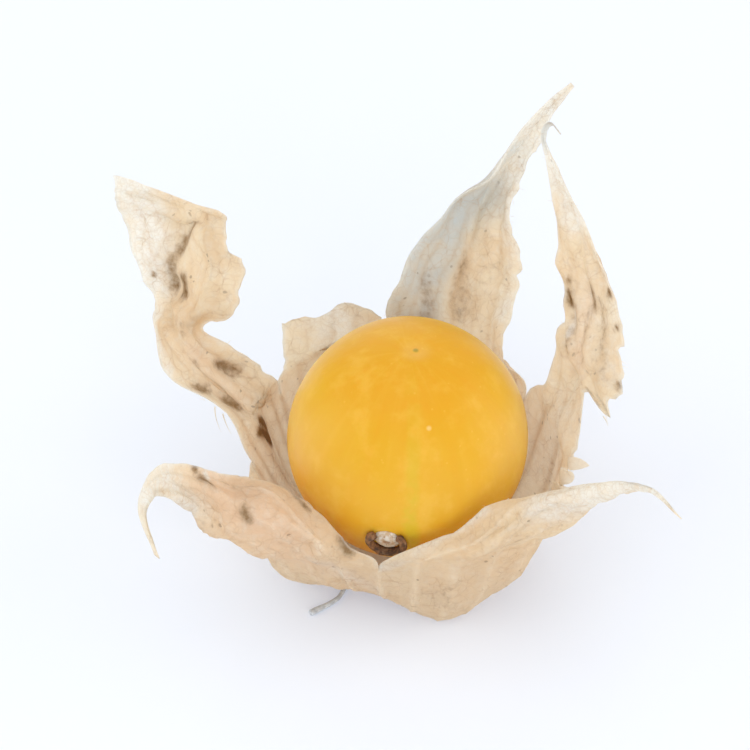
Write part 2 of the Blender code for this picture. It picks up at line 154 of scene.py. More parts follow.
# Each lobe: its rails' azimuths where they leave the cup, then stations up to the tip.
# A station gives one point on each rail, as x, y, z from the berry's foot. Crease says
# how far the sheet folds along its rails instead of curving, from 0 to 1. Ribs tells how
# far the sheet stands out at some of the borders between its columns. Pleat is the depth
# of the groove where the lobe leaves the cup.
# Tear is how deep the torn edges are cut, in rails, along the first and the last rail, and
# fray how much of the fine fray and nicks each of them shows.
LOBES = {
    "front_right": {
        "azimuths": (258, 290, 318, 340),
        "columns": 12,
        "crease": 0.3,
        "ribs": {4: RIB, 8: RIB},
        "pleat": 0.0,
        "tear": (0.02, 0.05),
        "fray": (0.4, 0.8),
        "stations": (
            ((3.6, -11.0, 13.3), (6.6, -12.9, 13.6), (11.3, -10.4, 11.8), (12.5, -5.7, 10.1)),
            ((7.5, -9.8, 15.8), (10.5, -12.2, 17.7), (14.1, -12.2, 17.7), (14.9, -7.8, 13.6)),
            ((12.2, -11.3, 18.6), (14.5, -13.2, 20.9), (16.1, -14.1, 21.4), (16.8, -10.7, 17.8)),
            ((16.0, -13.5, 22.0), (17.3, -14.9, 23.5), (18.1, -15.9, 23.9), (18.4, -13.8, 21.8)),
            ((18.7, -17.1, 25.5), (19.0, -17.6, 25.7), (19.1, -18.2, 25.8), (19.1, -17.2, 25.0)),
            ((20.7, -21.4, 26.9),),
        ),
    },
    "right": {
        "azimuths": (-20, 4, 33),
        "columns": 10,
        "crease": 0.7,
        "ribs": {5: RIB},
        "pleat": 0.0,
        "tear": (0.05, 0.012),
        "fray": (1.0, 0.25),
        "stations": (
            ((14.1, -2.9, 12.6), (13.0, 1.4, 12.8), (11.8, 4.9, 14.7)),
            ((15.3, 1.2, 16.7), (14.1, 3.4, 16.1), (12.8, 7.3, 17.1)),
            ((16.7, -1.5, 16.9), (14.4, 3.9, 17.2), (13.2, 8.2, 18.4)),
            ((17.9, -0.3, 19.5), (14.7, 4.9, 18.9), (13.3, 9.3, 19.7)),
            ((18.3, 2.1, 21.8), (15.0, 7.3, 21.9), (13.2, 10.9, 22.0)),
            ((16.8, 5.7, 25.2), (14.7, 10.0, 25.2), (12.7, 12.0, 24.4)),
            ((14.6, 10.3, 28.3), (13.6, 12.7, 28.5), (12.1, 14.1, 27.8)),
            ((12.3, 13.6, 31.2), (12.0, 14.8, 31.4), (11.5, 15.5, 31.3)),
            ((11.6, 15.7, 32.8), (11.5, 16.0, 33.0), (11.3, 16.3, 32.8)),
            ((12.1, 16.6, 33.2), (12.0, 16.8, 33.2), (11.9, 17.1, 33.1)),
            ((12.7, 16.4, 32.6),),
        ),
    },
    "back": {
        "azimuths": (33, 66, 100),
        "columns": 10,
        "crease": 0.6,
        "ribs": {2: RIB, 5: RIB, 8: RIB},
        "pleat": 0.0,
        "tear": (0.025, 0.01),
        "fray": (0.6, 0.3),
        "stations": (
            ((8.7, 8.6, 12.8), (4.9, 12.6, 12.4), (-1.9, 12.4, 15.1)),
            ((9.2, 11.4, 15.5), (4.9, 16.1, 14.5), (-1.1, 13.8, 17.8)),
            ((10.2, 14.7, 18.0), (5.4, 18.6, 17.6), (1.5, 16.5, 20.4)),
            ((9.2, 16.8, 21.4), (6.8, 20.3, 21.2), (4.5, 18.2, 23.4)),
            ((10.1, 19.5, 24.7), (8.7, 21.6, 24.6), (7.5, 19.8, 25.7)),
            ((11.6, 21.0, 27.5), (10.8, 22.5, 27.6), (10.1, 22.0, 28.5)),
            ((12.8, 22.9, 29.4), (12.5, 23.7, 29.4), (12.1, 23.5, 30.0)),
            ((14.3, 24.6, 31.0),),
        ),
    },
    "flap": {
        "azimuths": (100, 115, 130, 145),
        "columns": 6,
        "crease": 0.2,
        "ribs": {3: RIB},
        "pleat": 0.0,
        "tear": (0.08, 0.08),
        "fray": (1.0, 1.0),
        "stations": (
            ((-2.0, 12.2, 12.4), (-4.9, 12.4, 12.6), (-7.9, 12.2, 11.6), (-10.9, 11.0, 10.9)),
            ((-2.2, 13.2, 13.9), (-4.9, 13.9, 15.2), (-8.0, 14.0, 13.4), (-11.1, 14.2, 12.6)),
        ),
    },
    "left": {
        "azimuths": (145, 157, 168, 180),
        "columns": 9,
        "crease": 0.8,
        "ribs": {3: RIB, 6: GROOVE},
        "pleat": 0.0,
        "tear": (0.04, 0.01),
        "fray": (0.8, 0.2),
        "stations": (
            ((-11.7, 7.2, 12.8), (-13.0, 6.4, 11.4), (-14.4, 4.3, 11.4), (-15.8, 1.9, 13.3)),
            ((-14.7, 7.5, 15.9), (-16.1, 7.3, 14.3), (-18.0, 5.3, 14.5), (-20.3, 3.1, 17.8)),
            ((-17.1, 6.5, 19.1), (-18.4, 7.2, 18.3), (-19.8, 6.4, 18.9), (-21.2, 4.7, 21.5)),
            ((-15.8, 7.7, 18.9), (-18.0, 8.9, 18.7), (-20.2, 6.1, 22.8), (-21.3, 5.6, 23.8)),
            ((-14.3, 10.4, 18.7), (-17.2, 11.0, 19.3), (-20.0, 7.9, 23.6), (-22.2, 7.0, 25.2)),
            ((-14.2, 12.8, 21.0), (-16.9, 12.9, 21.8), (-19.5, 10.1, 25.0), (-23.2, 8.4, 27.1)),
            ((-15.4, 13.5, 23.3), (-16.9, 13.7, 24.0), (-18.5, 12.5, 26.0), (-24.1, 9.8, 29.2)),
            ((-15.4, 13.6, 25.9), (-17.0, 13.1, 26.6), (-19.6, 12.0, 28.1), (-24.4, 10.8, 30.2)),
            ((-18.2, 12.9, 28.0), (-19.8, 12.5, 28.8), (-21.8, 12.1, 29.7), (-24.5, 11.4, 30.8)),
            ((-21.6, 12.4, 30.3), (-22.6, 12.2, 30.6), (-23.6, 12.0, 30.9), (-24.5, 11.8, 31.1)),
            ((-24.4, 12.3, 31.6),),
        ),
    },
    "front_left": {
        "azimuths": (180, 212, 235, 258),
        "columns": 12,
        "crease": 0.3,
        "ribs": {4: RIB, 8: RIB},
        "pleat": 0.4,
        "tear": (0.035, 0.03),
        "fray": (0.7, 0.6),
        "stations": (
            ((-12.4, -3.2, 9.7), (-12.1, -9.7, 9.0), (-7.5, -11.8, 12.5), (-5.2, -10.6, 11.6)),
            ((-14.8, -5.5, 11.7), (-14.5, -11.7, 12.7), (-11.5, -10.5, 15.1), (-9.0, -7.7, 13.7)),
            ((-16.7, -7.5, 13.9), (-16.3, -12.8, 15.7), (-15.1, -9.7, 16.0), (-13.1, -6.7, 15.3)),
            ((-18.4, -10.0, 17.1), (-17.9, -12.7, 18.6), (-17.5, -10.0, 18.4), (-16.5, -8.0, 17.6)),
            ((-20.1, -13.1, 21.0), (-20.0, -14.2, 21.4), (-19.9, -12.4, 21.7), (-19.4, -11.0, 21.7)),
            ((-20.4, -16.8, 24.4), (-20.3, -17.5, 24.4), (-20.7, -16.4, 24.8), (-20.7, -15.9, 25.2)),
            ((-20.5, -20.8, 26.1), (-20.4, -20.8, 26.1), (-20.8, -20.6, 26.3), (-21.0, -20.5, 26.4)),
            ((-19.4, -24.2, 25.5),),
        ),
    },
}

# Where the dry sheet is coloured otherwise: stains, and also painted shade and light. Each
# stroke has its lobe, the stations and shares across that it runs through, its half width in
# millimetres and its strength.
BROWN_AND_SHADE_STROKES = (
    # The dark seam along the left lobe's fold: stains, and painted shade in its groove
    ("left", ((13.2, 0.6), (12.7, 0.63), (12.0, 0.65)), 0.65, 0.7),
    ("left", ((12.4, 0.66), (11.6, 0.7), (11.0, 0.68), (10.6, 0.67)), 0.75, 0.75),
    ("left", ((11.1, 0.58), (10.7, 0.56)), 1.25, 0.95),
    ("left", ((11.1, 0.87),), 0.5, 1.0),
    ("left", ((8.33, 0.6),), 0.9, 0.6),
    ("left", ((7.6, 0.88), (7.6, 0.8)), 1.0, 0.85),
    ("left", ((8.0, 0.36), (7.65, 0.29)), 1.0, 0.72),
    ("left", ((7.3, 0.76), (7.1, 0.68)), 1.0, 0.8),
    ("left", ((6.2, 0.65), (6.05, 0.57), (5.9, 0.5), (5.72, 0.46)), 0.82, 1.5),
    ("left", ((6.2, 0.48), (5.95, 0.4)), 0.7, 1.4),
    ("right", ((11.1, 0.78),), 0.75, 0.75),
    ("right", ((10.55, 0.86), (10.4, 0.86)), 1.0, 1.1),
    ("right", ((11.4, 0.44), (11.0, 0.42)), 0.75, 0.75),
    ("right", ((11.7, 0.14),), 0.75, 1.0),
    ("right", ((11.2, 0.08),), 0.65, 0.8),
    ("right", ((9.9, 0.04),), 0.7, 0.9),
    ("back", ((8.1, 0.78), (7.3, 0.72)), 1.5, 0.5),
    ("back", ((8.6, 0.52), (7.5, 0.52)), 1.5, 0.45),
    ("front_left", ((10.3, 0.96),), 0.8, 1.2),
    ("front_left", ((9.9, 0.74), (9.6, 0.7)), 0.95, 0.75),
    ("front_left", ((8.4, 0.6), (8.2, 0.56)), 0.75, 0.9),
    ("front_left", ((8.1, 0.98), (7.7, 0.93)), 0.5, 0.75),
    ("front_left", ((7.0, 0.96), (6.75, 0.91)), 1.2, 0.85),
    # Painted shade along the crease between the front left lobe and the cup
    ("front_left", ((7.3, 0.5), (6.3, 0.67), (5.8, 0.87), (5.1, 0.97)), 0.6, 0.33),
    ("front_left", ((9.4, 0.85), (9.0, 0.8), (8.6, 0.86)), 0.35, 0.4),
    ("right", ((10.9, 0.5), (10.2, 0.45), (9.6, 0.5)), 0.4, 0.4),
    ("right", ((11.4, 0.3), (10.8, 0.25), (10.4, 0.3)), 0.35, 0.45),
    ("left", ((9.2, 0.5), (8.9, 0.55)), 0.5, 0.5),
    ("right", ((16.8, 0.5), (15.9, 0.5)), 0.9, 0.5),
    ("front_right", ((5.7, 0.33), (5.5, 0.28), (5.1, 0.31)), 0.5, 0.45),
    ("front_right", ((7.2, 0.5), (7.0, 0.46), (6.8, 0.49)), 0.5, 0.45),
    ("right", ((10.8, 0.75), (10.0, 0.72), (9.0, 0.74)), 1.5, 0.38),
    ("right", ((11.3, 0.28), (10.5, 0.28), (9.8, 0.18)), 1.8, 0.31),
    ("left", ((12.9, 0.7), (12.1, 0.76), (11.4, 0.85)), 1.6, 0.24),
    ("back", ((8.8, 0.24), (7.9, 0.35)), 3.0, 0.2),
    ("front_left", ((9.9, 0.35), (9.2, 0.3), (8.6, 0.35)), 3.0, 0.2),
    ("front_right", ((7.9, 0.5), (7.1, 0.37), (6.2, 0.35)), 3.5, 0.18),
    ("front_right", ((5.5, 0.2), (5.1, 0.3)), 3.0, 0.24),
)
# Greyish strokes: painted shade on the back lobe's left half, which turns away from the light, and a
# greyish patch near the right lobe's tip
GREY_AND_SHADE_STROKES = (
    ("back", ((10.2, 0.85), (8.7, 0.82), (7.4, 0.85)), 4.2, 1.5),
    ("back", ((11.5, 0.8), (10.0, 0.85)), 2.0, 0.5),
    ("right", ((16.0, 0.5), (14.6, 0.5)), 1.2, 0.9),
)
# Pale strokes: bleached places, and painted light on faces the light falls on, such as the left
# lobe's tip, the lit fold low on the front left lobe, a highlight along the front right lobe's edge,
# and painted light on the right lobe's shaded root
PALE_AND_LIT_STROKES = (
    ("left", ((15.9, 0.8), (14.0, 0.9), (12.5, 0.88), (11.0, 0.95)), 3.4, 1.4),
    ("left", ((9.6, 0.95), (8.0, 0.97)), 1.2, 0.8),
    ("back", ((12.8, 0.5), (11.0, 0.5)), 4.0, 1.6),
    ("back", ((10.6, 0.1), (8.0, 0.1)), 1.6, 0.8),
    ("right", ((14.5, 0.5), (12.8, 0.4)), 3.0, 1.3),
    ("right", ((13.5, 0.1), (11.5, 0.1), (10.0, 0.1)), 1.8, 0.35),
    ("right", ((10.4, 0.73), (9.5, 0.75)), 0.5, 1.2),
    ("right", ((7.2, 0.5), (5.6, 0.5)), 4.5, 0.6),
    ("front_left", ((12.5, 0.5), (10.8, 0.6), (10.0, 0.3)), 2.9, 1.0),
    ("front_left", ((9.9, 0.86), (9.8, 0.8)), 0.5, 1.3),
    ("front_left", ((6.4, 0.66), (5.6, 0.8), (5.2, 0.98)), 1.6, 0.9),
    ("front_right", ((11.0, 0.5), (9.0, 0.4), (8.0, 0.4)), 3.4, 1.3),
    ("front_right", ((6.1, 0.02), (6.8, 0.02), (7.6, 0.02)), 0.9, 1.3),
    ("flap", ((7.6, 0.5),), 4.0, 1.0),
)
PINK_STROKES = (
    ("front_left", ((9.2, 0.7), (7.6, 0.6), (6.4, 0.5)), 5.5, 1.1),
    ("left", ((8.5, 0.5), (7.0, 0.6)), 3.0, 0.6),
    ("right", ((11.0, 0.5), (9.5, 0.5)), 3.0, 0.6),
)
STROKES = {
    "brown": BROWN_AND_SHADE_STROKES,
    "grey": GREY_AND_SHADE_STROKES,
    "pale": PALE_AND_LIT_STROKES,
    "pink": PINK_STROKES,
}

# Torn edges. The slow tear is three waves: swings along the edge, phase from lobe to lobe
# and share. Nicks come where slow noise rises past a level.
TEAR_WAVES = ((5.3, 1.0, 1.0), (9.1, 2.3, 0.7), (15.7, 4.1, 0.5))
TEAR_LEVEL, TEAR_START, TEAR_RISE, TEAR_TAPER = 1.4, 0.3, 0.5, 1.5
TEAR_PHASES = (1.0, 7.5)
EDGE_NICK, EDGE_NICK_EVERY, NICK_LEVEL, NICK_RISE = 0.45, 1.9, 1.1 / 3, 1 / 3
EDGE_FRAY, FRAY_SIZES = 0.12, (0.55, 0.9)
LOBES_APART, SIDES_APART = 20, 7
CUT_START, CUT_FULL_WIDTH, CUT_FALL = 0.4, 2.5, 6
TOP_TEAR, TOP_NOTCH, TOP_SWINGS = 0.1, 0.6, (9, 23)

# Sudden steps in a torn edge: lobe, side, station, how deep it is cut before and after it
# in millimetres, and the stations over which each cut fades
STEP_LENGTH = 0.1
EDGE_STEPS = (
    ("left", 0, 12.25, -0.45, 0.9, 1.1),
    ("left", 0, 14.2, 0.0, -0.3, 0.5),
    ("back", 0, 8.95, 0.35, -0.2, 0.5),
    ("back", 0, 9.9, 0.2, -0.2, 0.4),
    ("right", 0, 6.5, -0.6, 0.5, 0.3),
    ("right", 0, 7.1, 0.3, -0.4, 0.3),
    ("right", 0, 9.45, 0.35, -0.2, 0.3),
    ("front_left", 3, 9.2, 0.25, -0.15, 0.5),
    ("front_left", 0, 9.5, 0.3, -0.3, 0.6),
    ("front_right", 3, 7.6, 0.3, -0.2, 0.4),
)

# Loose fibres: lobe, station, share, where the fibre starts and ends from there, and bend
LOOSE_FIBRES = (
    ("left", 11.2, 0.6, ((0.0, -0.4, 0.3), (-0.8, -1.1, -1.7)), (0.3, -0.3, 0.2)),
    ("left", 11.3, 0.66, ((0.0, -0.4, 0.3), (-0.5, -1.0, -1.6)), (-0.3, -0.2, 0.2)),
    ("left", 10.9, 0.62, ((0.2, -0.4, 0.3), (-0.7, -0.9, -1.3)), (0.1, -0.4, 0.1)),
    ("left", 7.2, 0.97, ((0.1, 0.0, 0.0), (0.0, -1.1, -1.7)), (0.6, 0.0, -0.3)),
    ("left", 7.05, 0.97, ((0.1, 0.0, 0.0), (0.6, -0.8, -2.0)), (0.2, 0.0, 0.3)),
    ("left", 9.9, 0.98, ((0.1, 0.0, 0.0), (-0.3, -0.4, -1.4)), (0.5, 0.0, -0.2)),
    ("right", 8.9, 0.0, ((-0.2, 0.0, 0.0), (0.5, -0.3, -1.0)), (-0.3, 0.0, 0.1)),
    ("right", 6.6, 0.02, ((-0.2, 0.0, 0.0), (0.9, -0.4, 0.5)), (-0.4, 0.0, 0.7)),
    ("right", 6.3, 0.02, ((-0.2, 0.0, 0.0), (0.8, -0.6, -0.4)), (0.2, 0.0, 0.6)),
)
FIBRE_RADIUS, FIBRE_SIDES, FIBRE_PALENESS = 0.06, 5, 0.25

# Hairs on the torn edges, away from the rim and the tip, drawn between these limits
HAIRS_PER_LOBE, HAIR_RADIUS = 12, 0.022
HAIRS_FROM_RIM, HAIRS_FROM_TIP = 0.5, 3
HAIR_LENGTH, HAIR_SPREAD, HAIR_BEND = (0.25, 0.75), 0.7, 0.5
HAIR_AXIS, HAIR_TIP = (0.31, 0.52, 0.79), 0.05

# Curled scraps of the torn edge, given as the loose fibres are, with their half width last
SCRAPS = (
    ("right", 6.15, 0.0, ((-0.6, 0.1, 0.0), (1.0, -0.3, 0.0)), (-0.5, -0.2, 1.1), 0.8),
    ("right", 6.6, 0.0, ((-0.6, 0.1, 0.1), (1.3, -0.5, 0.4)), (-1.1, 0.2, 0.7), 0.7),
    ("right", 7.0, 0.0, ((-0.5, 0.0, 0.0), (0.6, -0.5, 0.8)), (0.6, 0.1, -0.6), 0.55),
    ("right", 5.8, 0.0, ((-0.5, 0.2, 0.0), (0.6, -0.4, -0.6)), (0.5, -0.2, 0.5), 0.6),
)
SCRAP_SIDES, SCRAP_FLATNESS, SCRAP_BLUNTNESS = 16, 0.3, 3

# Fine relief of the sheet. Side veins leave the ribs at a slant, wander a little, begin a
# gap away from them and fade with their reach. Crumples give each noise's size and height.
FINE_RIB, FINE_RIB_WIDTH = 0.09, 0.24
SIDE_VEIN, SIDE_VEIN_EVERY, SIDE_VEIN_WIDTH, SIDE_VEIN_SHARE = 0.045, 2.3, 0.2, 0.55
SIDE_VEIN_SLANT, SIDE_VEIN_WANDER = 0.9, ((2.5, 0.9),)
SIDE_VEIN_GAP, SIDE_VEIN_REACH = 0.3, 2.5
VEIN_START, VEIN_EDGE, VEIN_ROOM = 2.6, 0.5, 1.1
CRUMPLE = ((5.5, 0.15), (2.4, 0.07), (1.1, 0.03))
FOOT_CALM, FOOT_CALM_HEIGHT, TIP_CALM = 0.3, 2, 3.0
VEIN_THICKENING, EDGE_THINNING, EDGE_THIN_WIDTH = 0.9, 0.4, 0.6
FROM_EDGE_IN_CUP = 5.0

# The stem
STEM_RADIUS, STEM_ENDS, STEM_WAIST = 0.28, 0.96, 0.25
STEM_UNEVEN, STEM_ROUGH, STEM_RIDGES = ((0.8, 0.05),), ((0.25, 0.018),), (7, 0.07)
STEM_ROUTE = (
    (0.3, 0.4, 1.1),
    (-1.2, -1.1, 0.75),
    (-3.2, -3.1, 0.4),
    (-5.1, -5.7, 0.3),
    (-6.1, -7.5, 0.3),
    (-8.3, -9.0, 0.3),
)
STEM_POINTS, STEM_SIDES = 90, 24

# The finishes. Relief is how far bumps stand out. Net gives the size of the cells that each
# net of veins is made of, and its lines' width in shares of a cell.
SKIN_RELIEF, CORK_RELIEF, PAD_RELIEF, HUSK_RELIEF, BARK_RELIEF = 0.06, 0.08, 0.06, 0.05, 0.04
FLECK_SIZE, SPECK_SIZE = 1.1, 1.3
NET = ((2.1, 0.05), (0.95, 0.08), (0.5, 0.13))
PAD_DOT_HEIGHT = 0.2
TABLE_HALF, TABLE_CLOUD = 1500.0, (0.02, 0.02, 0.015)

# The soft lights: name, place and size in metres, the property that holds the power in
# watts, the share of it, and colour. All point at one target, in metres too.
LIGHTS = (
    ("key", (-0.07, -0.09, 0.62), 0.6, "key", 1.0, (1.0, 0.95, 0.89)),
    ("left", (-0.5, -0.05, 0.16), 0.4, "side", 1.0, (0.90, 0.96, 1.0)),
    ("right", (0.5, 0.05, 0.16), 0.4, "side", 1.0, (1.0, 0.94, 0.89)),
    ("back", (-0.1, 0.6, 0.3), 0.5, "side", 0.8, (0.94, 0.98, 1.0)),
    ("front", (0.12, -0.6, 0.22), 0.5, "front", 1.0, (1.0, 0.97, 0.94)),
)
LIGHT_TARGET = (0, 0, 0.01)
SKY = (0.91, 0.955, 1.0, 1)

# The photograph's view: the berry's middle in the picture, and the length of a pixel there
VIEW_ELEVATION = 46.0
VIEW_DISTANCE = 260.0
PICTURE_WIDTH = 750
BERRY_IN_PICTURE = (407.5, 437.0)
PIXEL_LENGTH = 0.085
SENSOR_WIDTH = 36.0

NOISE_LATTICE, NOISE_SHIFT = 32, 1000
WELD_DIGITS = 5


def smoothstep(x):
    """0 up to x = 0 and 1 from x = 1: x squared times 3 less 2x, with level ends."""
    x = np.clip(x, 0, 1)
    return x * x * (3 - 2 * x)


def curve_through(knots, values, at):
    """The cubic curve through values at knots, its slope at each set by the two beside it."""
    knots = np.asarray(knots, float)
    values = np.asarray(values, float)
    slope = np.gradient(values, knots, axis=0)
    i = np.clip(np.searchsorted(knots, at, "right") - 1, 0, len(knots) - 2)
    step = (knots[i + 1] - knots[i]).reshape(np.shape(at) + (1,) * (values.ndim - 1))
    t = (at - knots[i]).reshape(step.shape) / step
    start = (1 + 2 * t) * (1 - t) ** 2 * values[i] + t * (1 - t) ** 2 * step * slope[i]
    end = t * t * (3 - 2 * t) * values[i + 1] + t * t * (t - 1) * step * slope[i + 1]
    return start + end


def smooth_weights(knots, at):
    """How much of each knot's value the cubic curve takes at each place."""
    return curve_through(knots, np.eye(len(knots)), at)


def straight_weights(count, at):
    """How much of each rail a straight run between the rails takes at each place.

    Past the first and the last rail the run next to it goes straight on.
    """
    low = np.clip(np.floor(at), 0, count - 2)[..., None]
    share = at[..., None] - low
    number = np.arange(count)
    return (number == low) * (1 - share) + (number == low + 1) * share


def bell(x):
    """1 at x = 0, falling on both sides: e to the power of minus x squared."""
    return np.exp(-(x**2))


def unit(vector):
    """The direction of a vector, or of each one of many: the vector over its length."""
    vector = np.asarray(vector, float)
    return vector / np.linalg.norm(vector, axis=-1, keepdims=True)


def angle(directions, other):
    """The angle between each unit direction and another one, from their dot product."""
    return np.arccos(np.clip(directions @ other, -1, 1))


def noise(points, size, seed):
    """Smooth random values between -1 and 1, about one swing for each size in length.

    Seeded values at the corners of a lattice, blended between them with smoothstep.
    """
    table = np.random.default_rng(seed).uniform(-1, 1, (NOISE_LATTICE,) * 3)
    at = np.asarray(points, float) / size + NOISE_SHIFT
    cell = np.floor(at).astype(int)
    share = smoothstep(at - cell)
    total = np.zeros(at.shape[:-1])
    for corner in np.ndindex(2, 2, 2):
        i, j, k = np.moveaxis((cell + corner) % NOISE_LATTICE, -1, 0)
        weight = np.prod(np.where(corner, share, 1 - share), axis=-1)
        total += weight * table[i, j, k]
    return total


def layered(points, layers, seed):
    """Noise of several sizes, each times its own height, added up."""
    return sum(height * noise(points, size, seed + i) for i, (size, height) in enumerate(layers))


def grid_faces(rows, columns, first=0):
    """Two triangles for each cell of a grid whose first point has the number first."""
    corner = first + np.arange(rows - 1)[:, None] * columns + np.arange(columns - 1)
    a, b, c, d = corner, corner + 1, corner + columns + 1, corner + columns
    lower = np.stack([a, b, c], axis=-1).reshape(-1, 3)
    upper = np.stack([a, c, d], axis=-1).reshape(-1, 3)
    return np.concatenate([lower, upper])


def weld(points, faces):
    """Points that coincide become one, and triangles that collapse are left out.

    It also tells which of the old points each new one is.
    """
    rounded = np.round(points, WELD_DIGITS)
    _, first, index = np.unique(rounded, axis=0, return_index=True, return_inverse=True)
    faces = index.reshape(-1)[faces]
    whole = (faces != np.roll(faces, 1, axis=1)).all(axis=1)
    return points[first], faces[whole], first


def normals(points, faces):
    """The unit normal at each point, from the triangles round it."""
    corners = points[faces]
    face_normal = np.cross(corners[:, 1] - corners[:, 0], corners[:, 2] - corners[:, 0])
    normal = np.zeros_like(points)
    for corner in range(3):
        np.add.at(normal, faces[:, corner], face_normal)
    length = np.linalg.norm(normal, axis=1, keepdims=True)
    return normal / np.maximum(length, 1e-12)


def ball(turns, rows):
    """Unit directions on a grid closed at both poles, and its triangles facing outwards."""
    turn = np.linspace(0, 2 * np.pi, turns + 1)
    tilt = np.linspace(0, np.pi, rows + 1)[:, None]
    out = [np.sin(tilt) * np.cos(turn), np.sin(tilt) * np.sin(turn), np.cos(tilt) + 0 * turn]
    out[0][:, -1], out[1][:, -1] = out[0][:, 0], out[1][:, 0]
    faces = grid_faces(rows + 1, turns + 1)[:, ::-1]
    return weld(np.stack(out, axis=-1).reshape(-1, 3), faces)[:2]


def roughened(points, faces, layers, seed):
    """Points moved along their normals by layered noise."""
    return points + normals(points, faces) * layered(points, layers, seed)[:, None], faces


def tube(path, radius, sides, side_axis, ridges=(0, 0.0), stretch=1.0):
    """A closed tube along a path: ellipses square to it, with low ridges if asked.

    Ridges gives their number and depth. An ellipse's radius square to the side axis is
    multiplied by 1 plus the depth times the cosine of their number times the angle round
    it, and its radius along that axis by stretch too. Flat fans close the ends.
    """
    along = unit(np.gradient(path, axis=0))
    beside = unit(np.cross(along, side_axis))
    over = stretch * np.cross(beside, along)
    turn = np.linspace(0, 2 * np.pi, sides + 1)
    turn[-1] = 0
    count, depth = ridges
    size = radius[:, None] * (1 + depth * np.cos(count * turn))
    wall = path[:, None] + size[..., None] * (
        np.cos(turn)[:, None] * beside[:, None] + np.sin(turn)[:, None] * over[:, None]
    )
    first = np.repeat(path[:1, None], sides + 1, axis=1)
    last = np.repeat(path[-1:, None], sides + 1, axis=1)
    grid = np.concatenate([first, wall, last])
    faces = grid_faces(len(grid), sides + 1)[:, ::-1]
    return weld(grid.reshape(-1, 3), faces)[:2]


def joined(solids):
    """Several solids' points and triangles as one list of each."""
    points, faces, first = [], [], 0
    for solid_points, solid_faces in solids:
        points.append(solid_points)
        faces.append(solid_faces + first)
        first += len(solid_points)
    return np.concatenate(points), np.concatenate(faces)


def cork_frame():
    """Three unit directions at the corky scar: out of the berry, to its right and up it."""
    azimuth, elevation = np.radians([CORK_AZIMUTH, CORK_ELEVATION])
    level = np.cos(elevation)
    out = np.array([level * np.cos(azimuth), level * np.sin(azimuth), np.sin(elevation)])
    right = unit(np.cross([0, 0, 1], out))
    return out, right, np.cross(out, right)


def berry_surface():
    """The berry's skin: a ball stretched a little upwards, not quite even.

    Its radius loses a bell-shaped dimple round the style scar, a broad bell-shaped flat
    on the upper left and a shallow saddle under the corky scar. It gains the style scar's
    dot and low swellings.
    """
    out, faces = ball(BERRY_TURNS, BERRY_ROWS)
    from_style = angle(out, unit(STYLE_SIDE))
    radius = BERRY_RADIUS - STYLE_DIMPLE * bell(from_style / STYLE_DIMPLE_WIDTH)
    radius += STYLE_DOT * bell(from_style / STYLE_DOT_WIDTH)
    radius -= FLAT_DEPTH * bell(angle(out, unit(FLAT_SIDE)) / FLAT_WIDTH)
    radius -= SADDLE_DEPTH * bell(angle(out, cork_frame()[0]) / SADDLE_WIDTH)
    radius += layered(out, SKIN_SWELLINGS, seed=3)
    points = out * radius[:, None]
    points[:, 2] = BERRY_HEIGHT + BERRY_STRETCH * points[:, 2]
    return points, faces


def cork_ring_surface():
    """The corky ring: a rough wall round the scar, open at the top, with raised horns.

    It is an ellipse, taller than thick, carried round a circle that leaves a gap at the
    top. It rises with the squared cosine of twice the turn, and as a power of the way to
    its ends, where it also thins. Noise makes it lumpy.
    """
    out, right, up = cork_frame()
    half_gap = CORK_GAP / 2
    turn = np.radians(np.linspace(90 + half_gap, 450 - half_gap, CORK_POINTS))[:, None]
    share = np.linspace(0, 1, CORK_POINTS)
    level, corners, horns = CORK_RISE
    horns = horns * np.abs(2 * share - 1)[:, None] ** HORN_POWER
    rise = level + corners * np.cos(2 * turn) ** 2 + horns
    wobble = CORK_WOBBLE * noise(np.c_[share * CORK_SWINGS, share, share], 1, seed=11)
    ring = CORK_RING * (1 + wobble)[:, None]
    path = np.array([0, 0, BERRY_HEIGHT]) + out * (BERRY_RADIUS - CORK_SINK + rise)
    path = path + ring * (np.cos(turn) * right + np.sin(turn) * up)
    full = smoothstep(CORK_TAPERS * share) * smoothstep(CORK_TAPERS * (1 - share))
    radius = CORK_WALL * (1 - CORK_TAPER * (1 - full))
    radius *= 1 + CORK_UNEVEN * np.sin(3 * turn[:, 0])
    wall = tube(path, radius, CORK_SIDES, out, stretch=CORK_TALL)
    return roughened(*wall, CORK_ROUGH, seed=5)


def cork_pad_surface():
    """The papery pad inside the ring: a flattened, lumpy ball let into the skin."""
    out, right, up = cork_frame()
    points, faces = ball(PAD_TURNS, PAD_ROWS)
    lumps = 1 + layered(points, PAD_LUMPS, seed=8)
    reach = PAD_RADIUS * (1 + layered(points, PAD_OUTLINE, seed=10))[:, None]
    sideways = reach * (points[:, :1] * right + points[:, 1:2] * up)
    outwards = out * (BERRY_RADIUS - CORK_SINK + PAD_PROUD * points[:, 2:] * lumps[:, None])
    return np.array([0, 0, BERRY_HEIGHT]) + outwards + sideways, faces


def cup_profile(azimuth):
    """The cup's profile at each azimuth, as points from the middle to the rim.

    The foot's and the rim's sizes are the cubic curve through their table, and each
    point of the profile takes its shares of them.
    """
    table = np.array(CUP, float)
    knots = np.concatenate([table[:, 0] - 360, table[:, 0], table[:, 0] + 360])
    sizes = curve_through(knots, np.tile(table[:, 1:], (3, 1)), azimuth)
    foot, low, rim, high = np.moveaxis(sizes, -1, 0)
    turn = np.radians(azimuth)
    points = []
    for of_foot, of_rim, out, of_low, of_high, up in CUP_PROFILE:
        radius = of_foot * foot + of_rim * rim + out
        height = of_low * low + of_high * high + up
        points.append(np.stack([radius * np.cos(turn), radius * np.sin(turn), height], axis=-1))
    return np.stack(points)


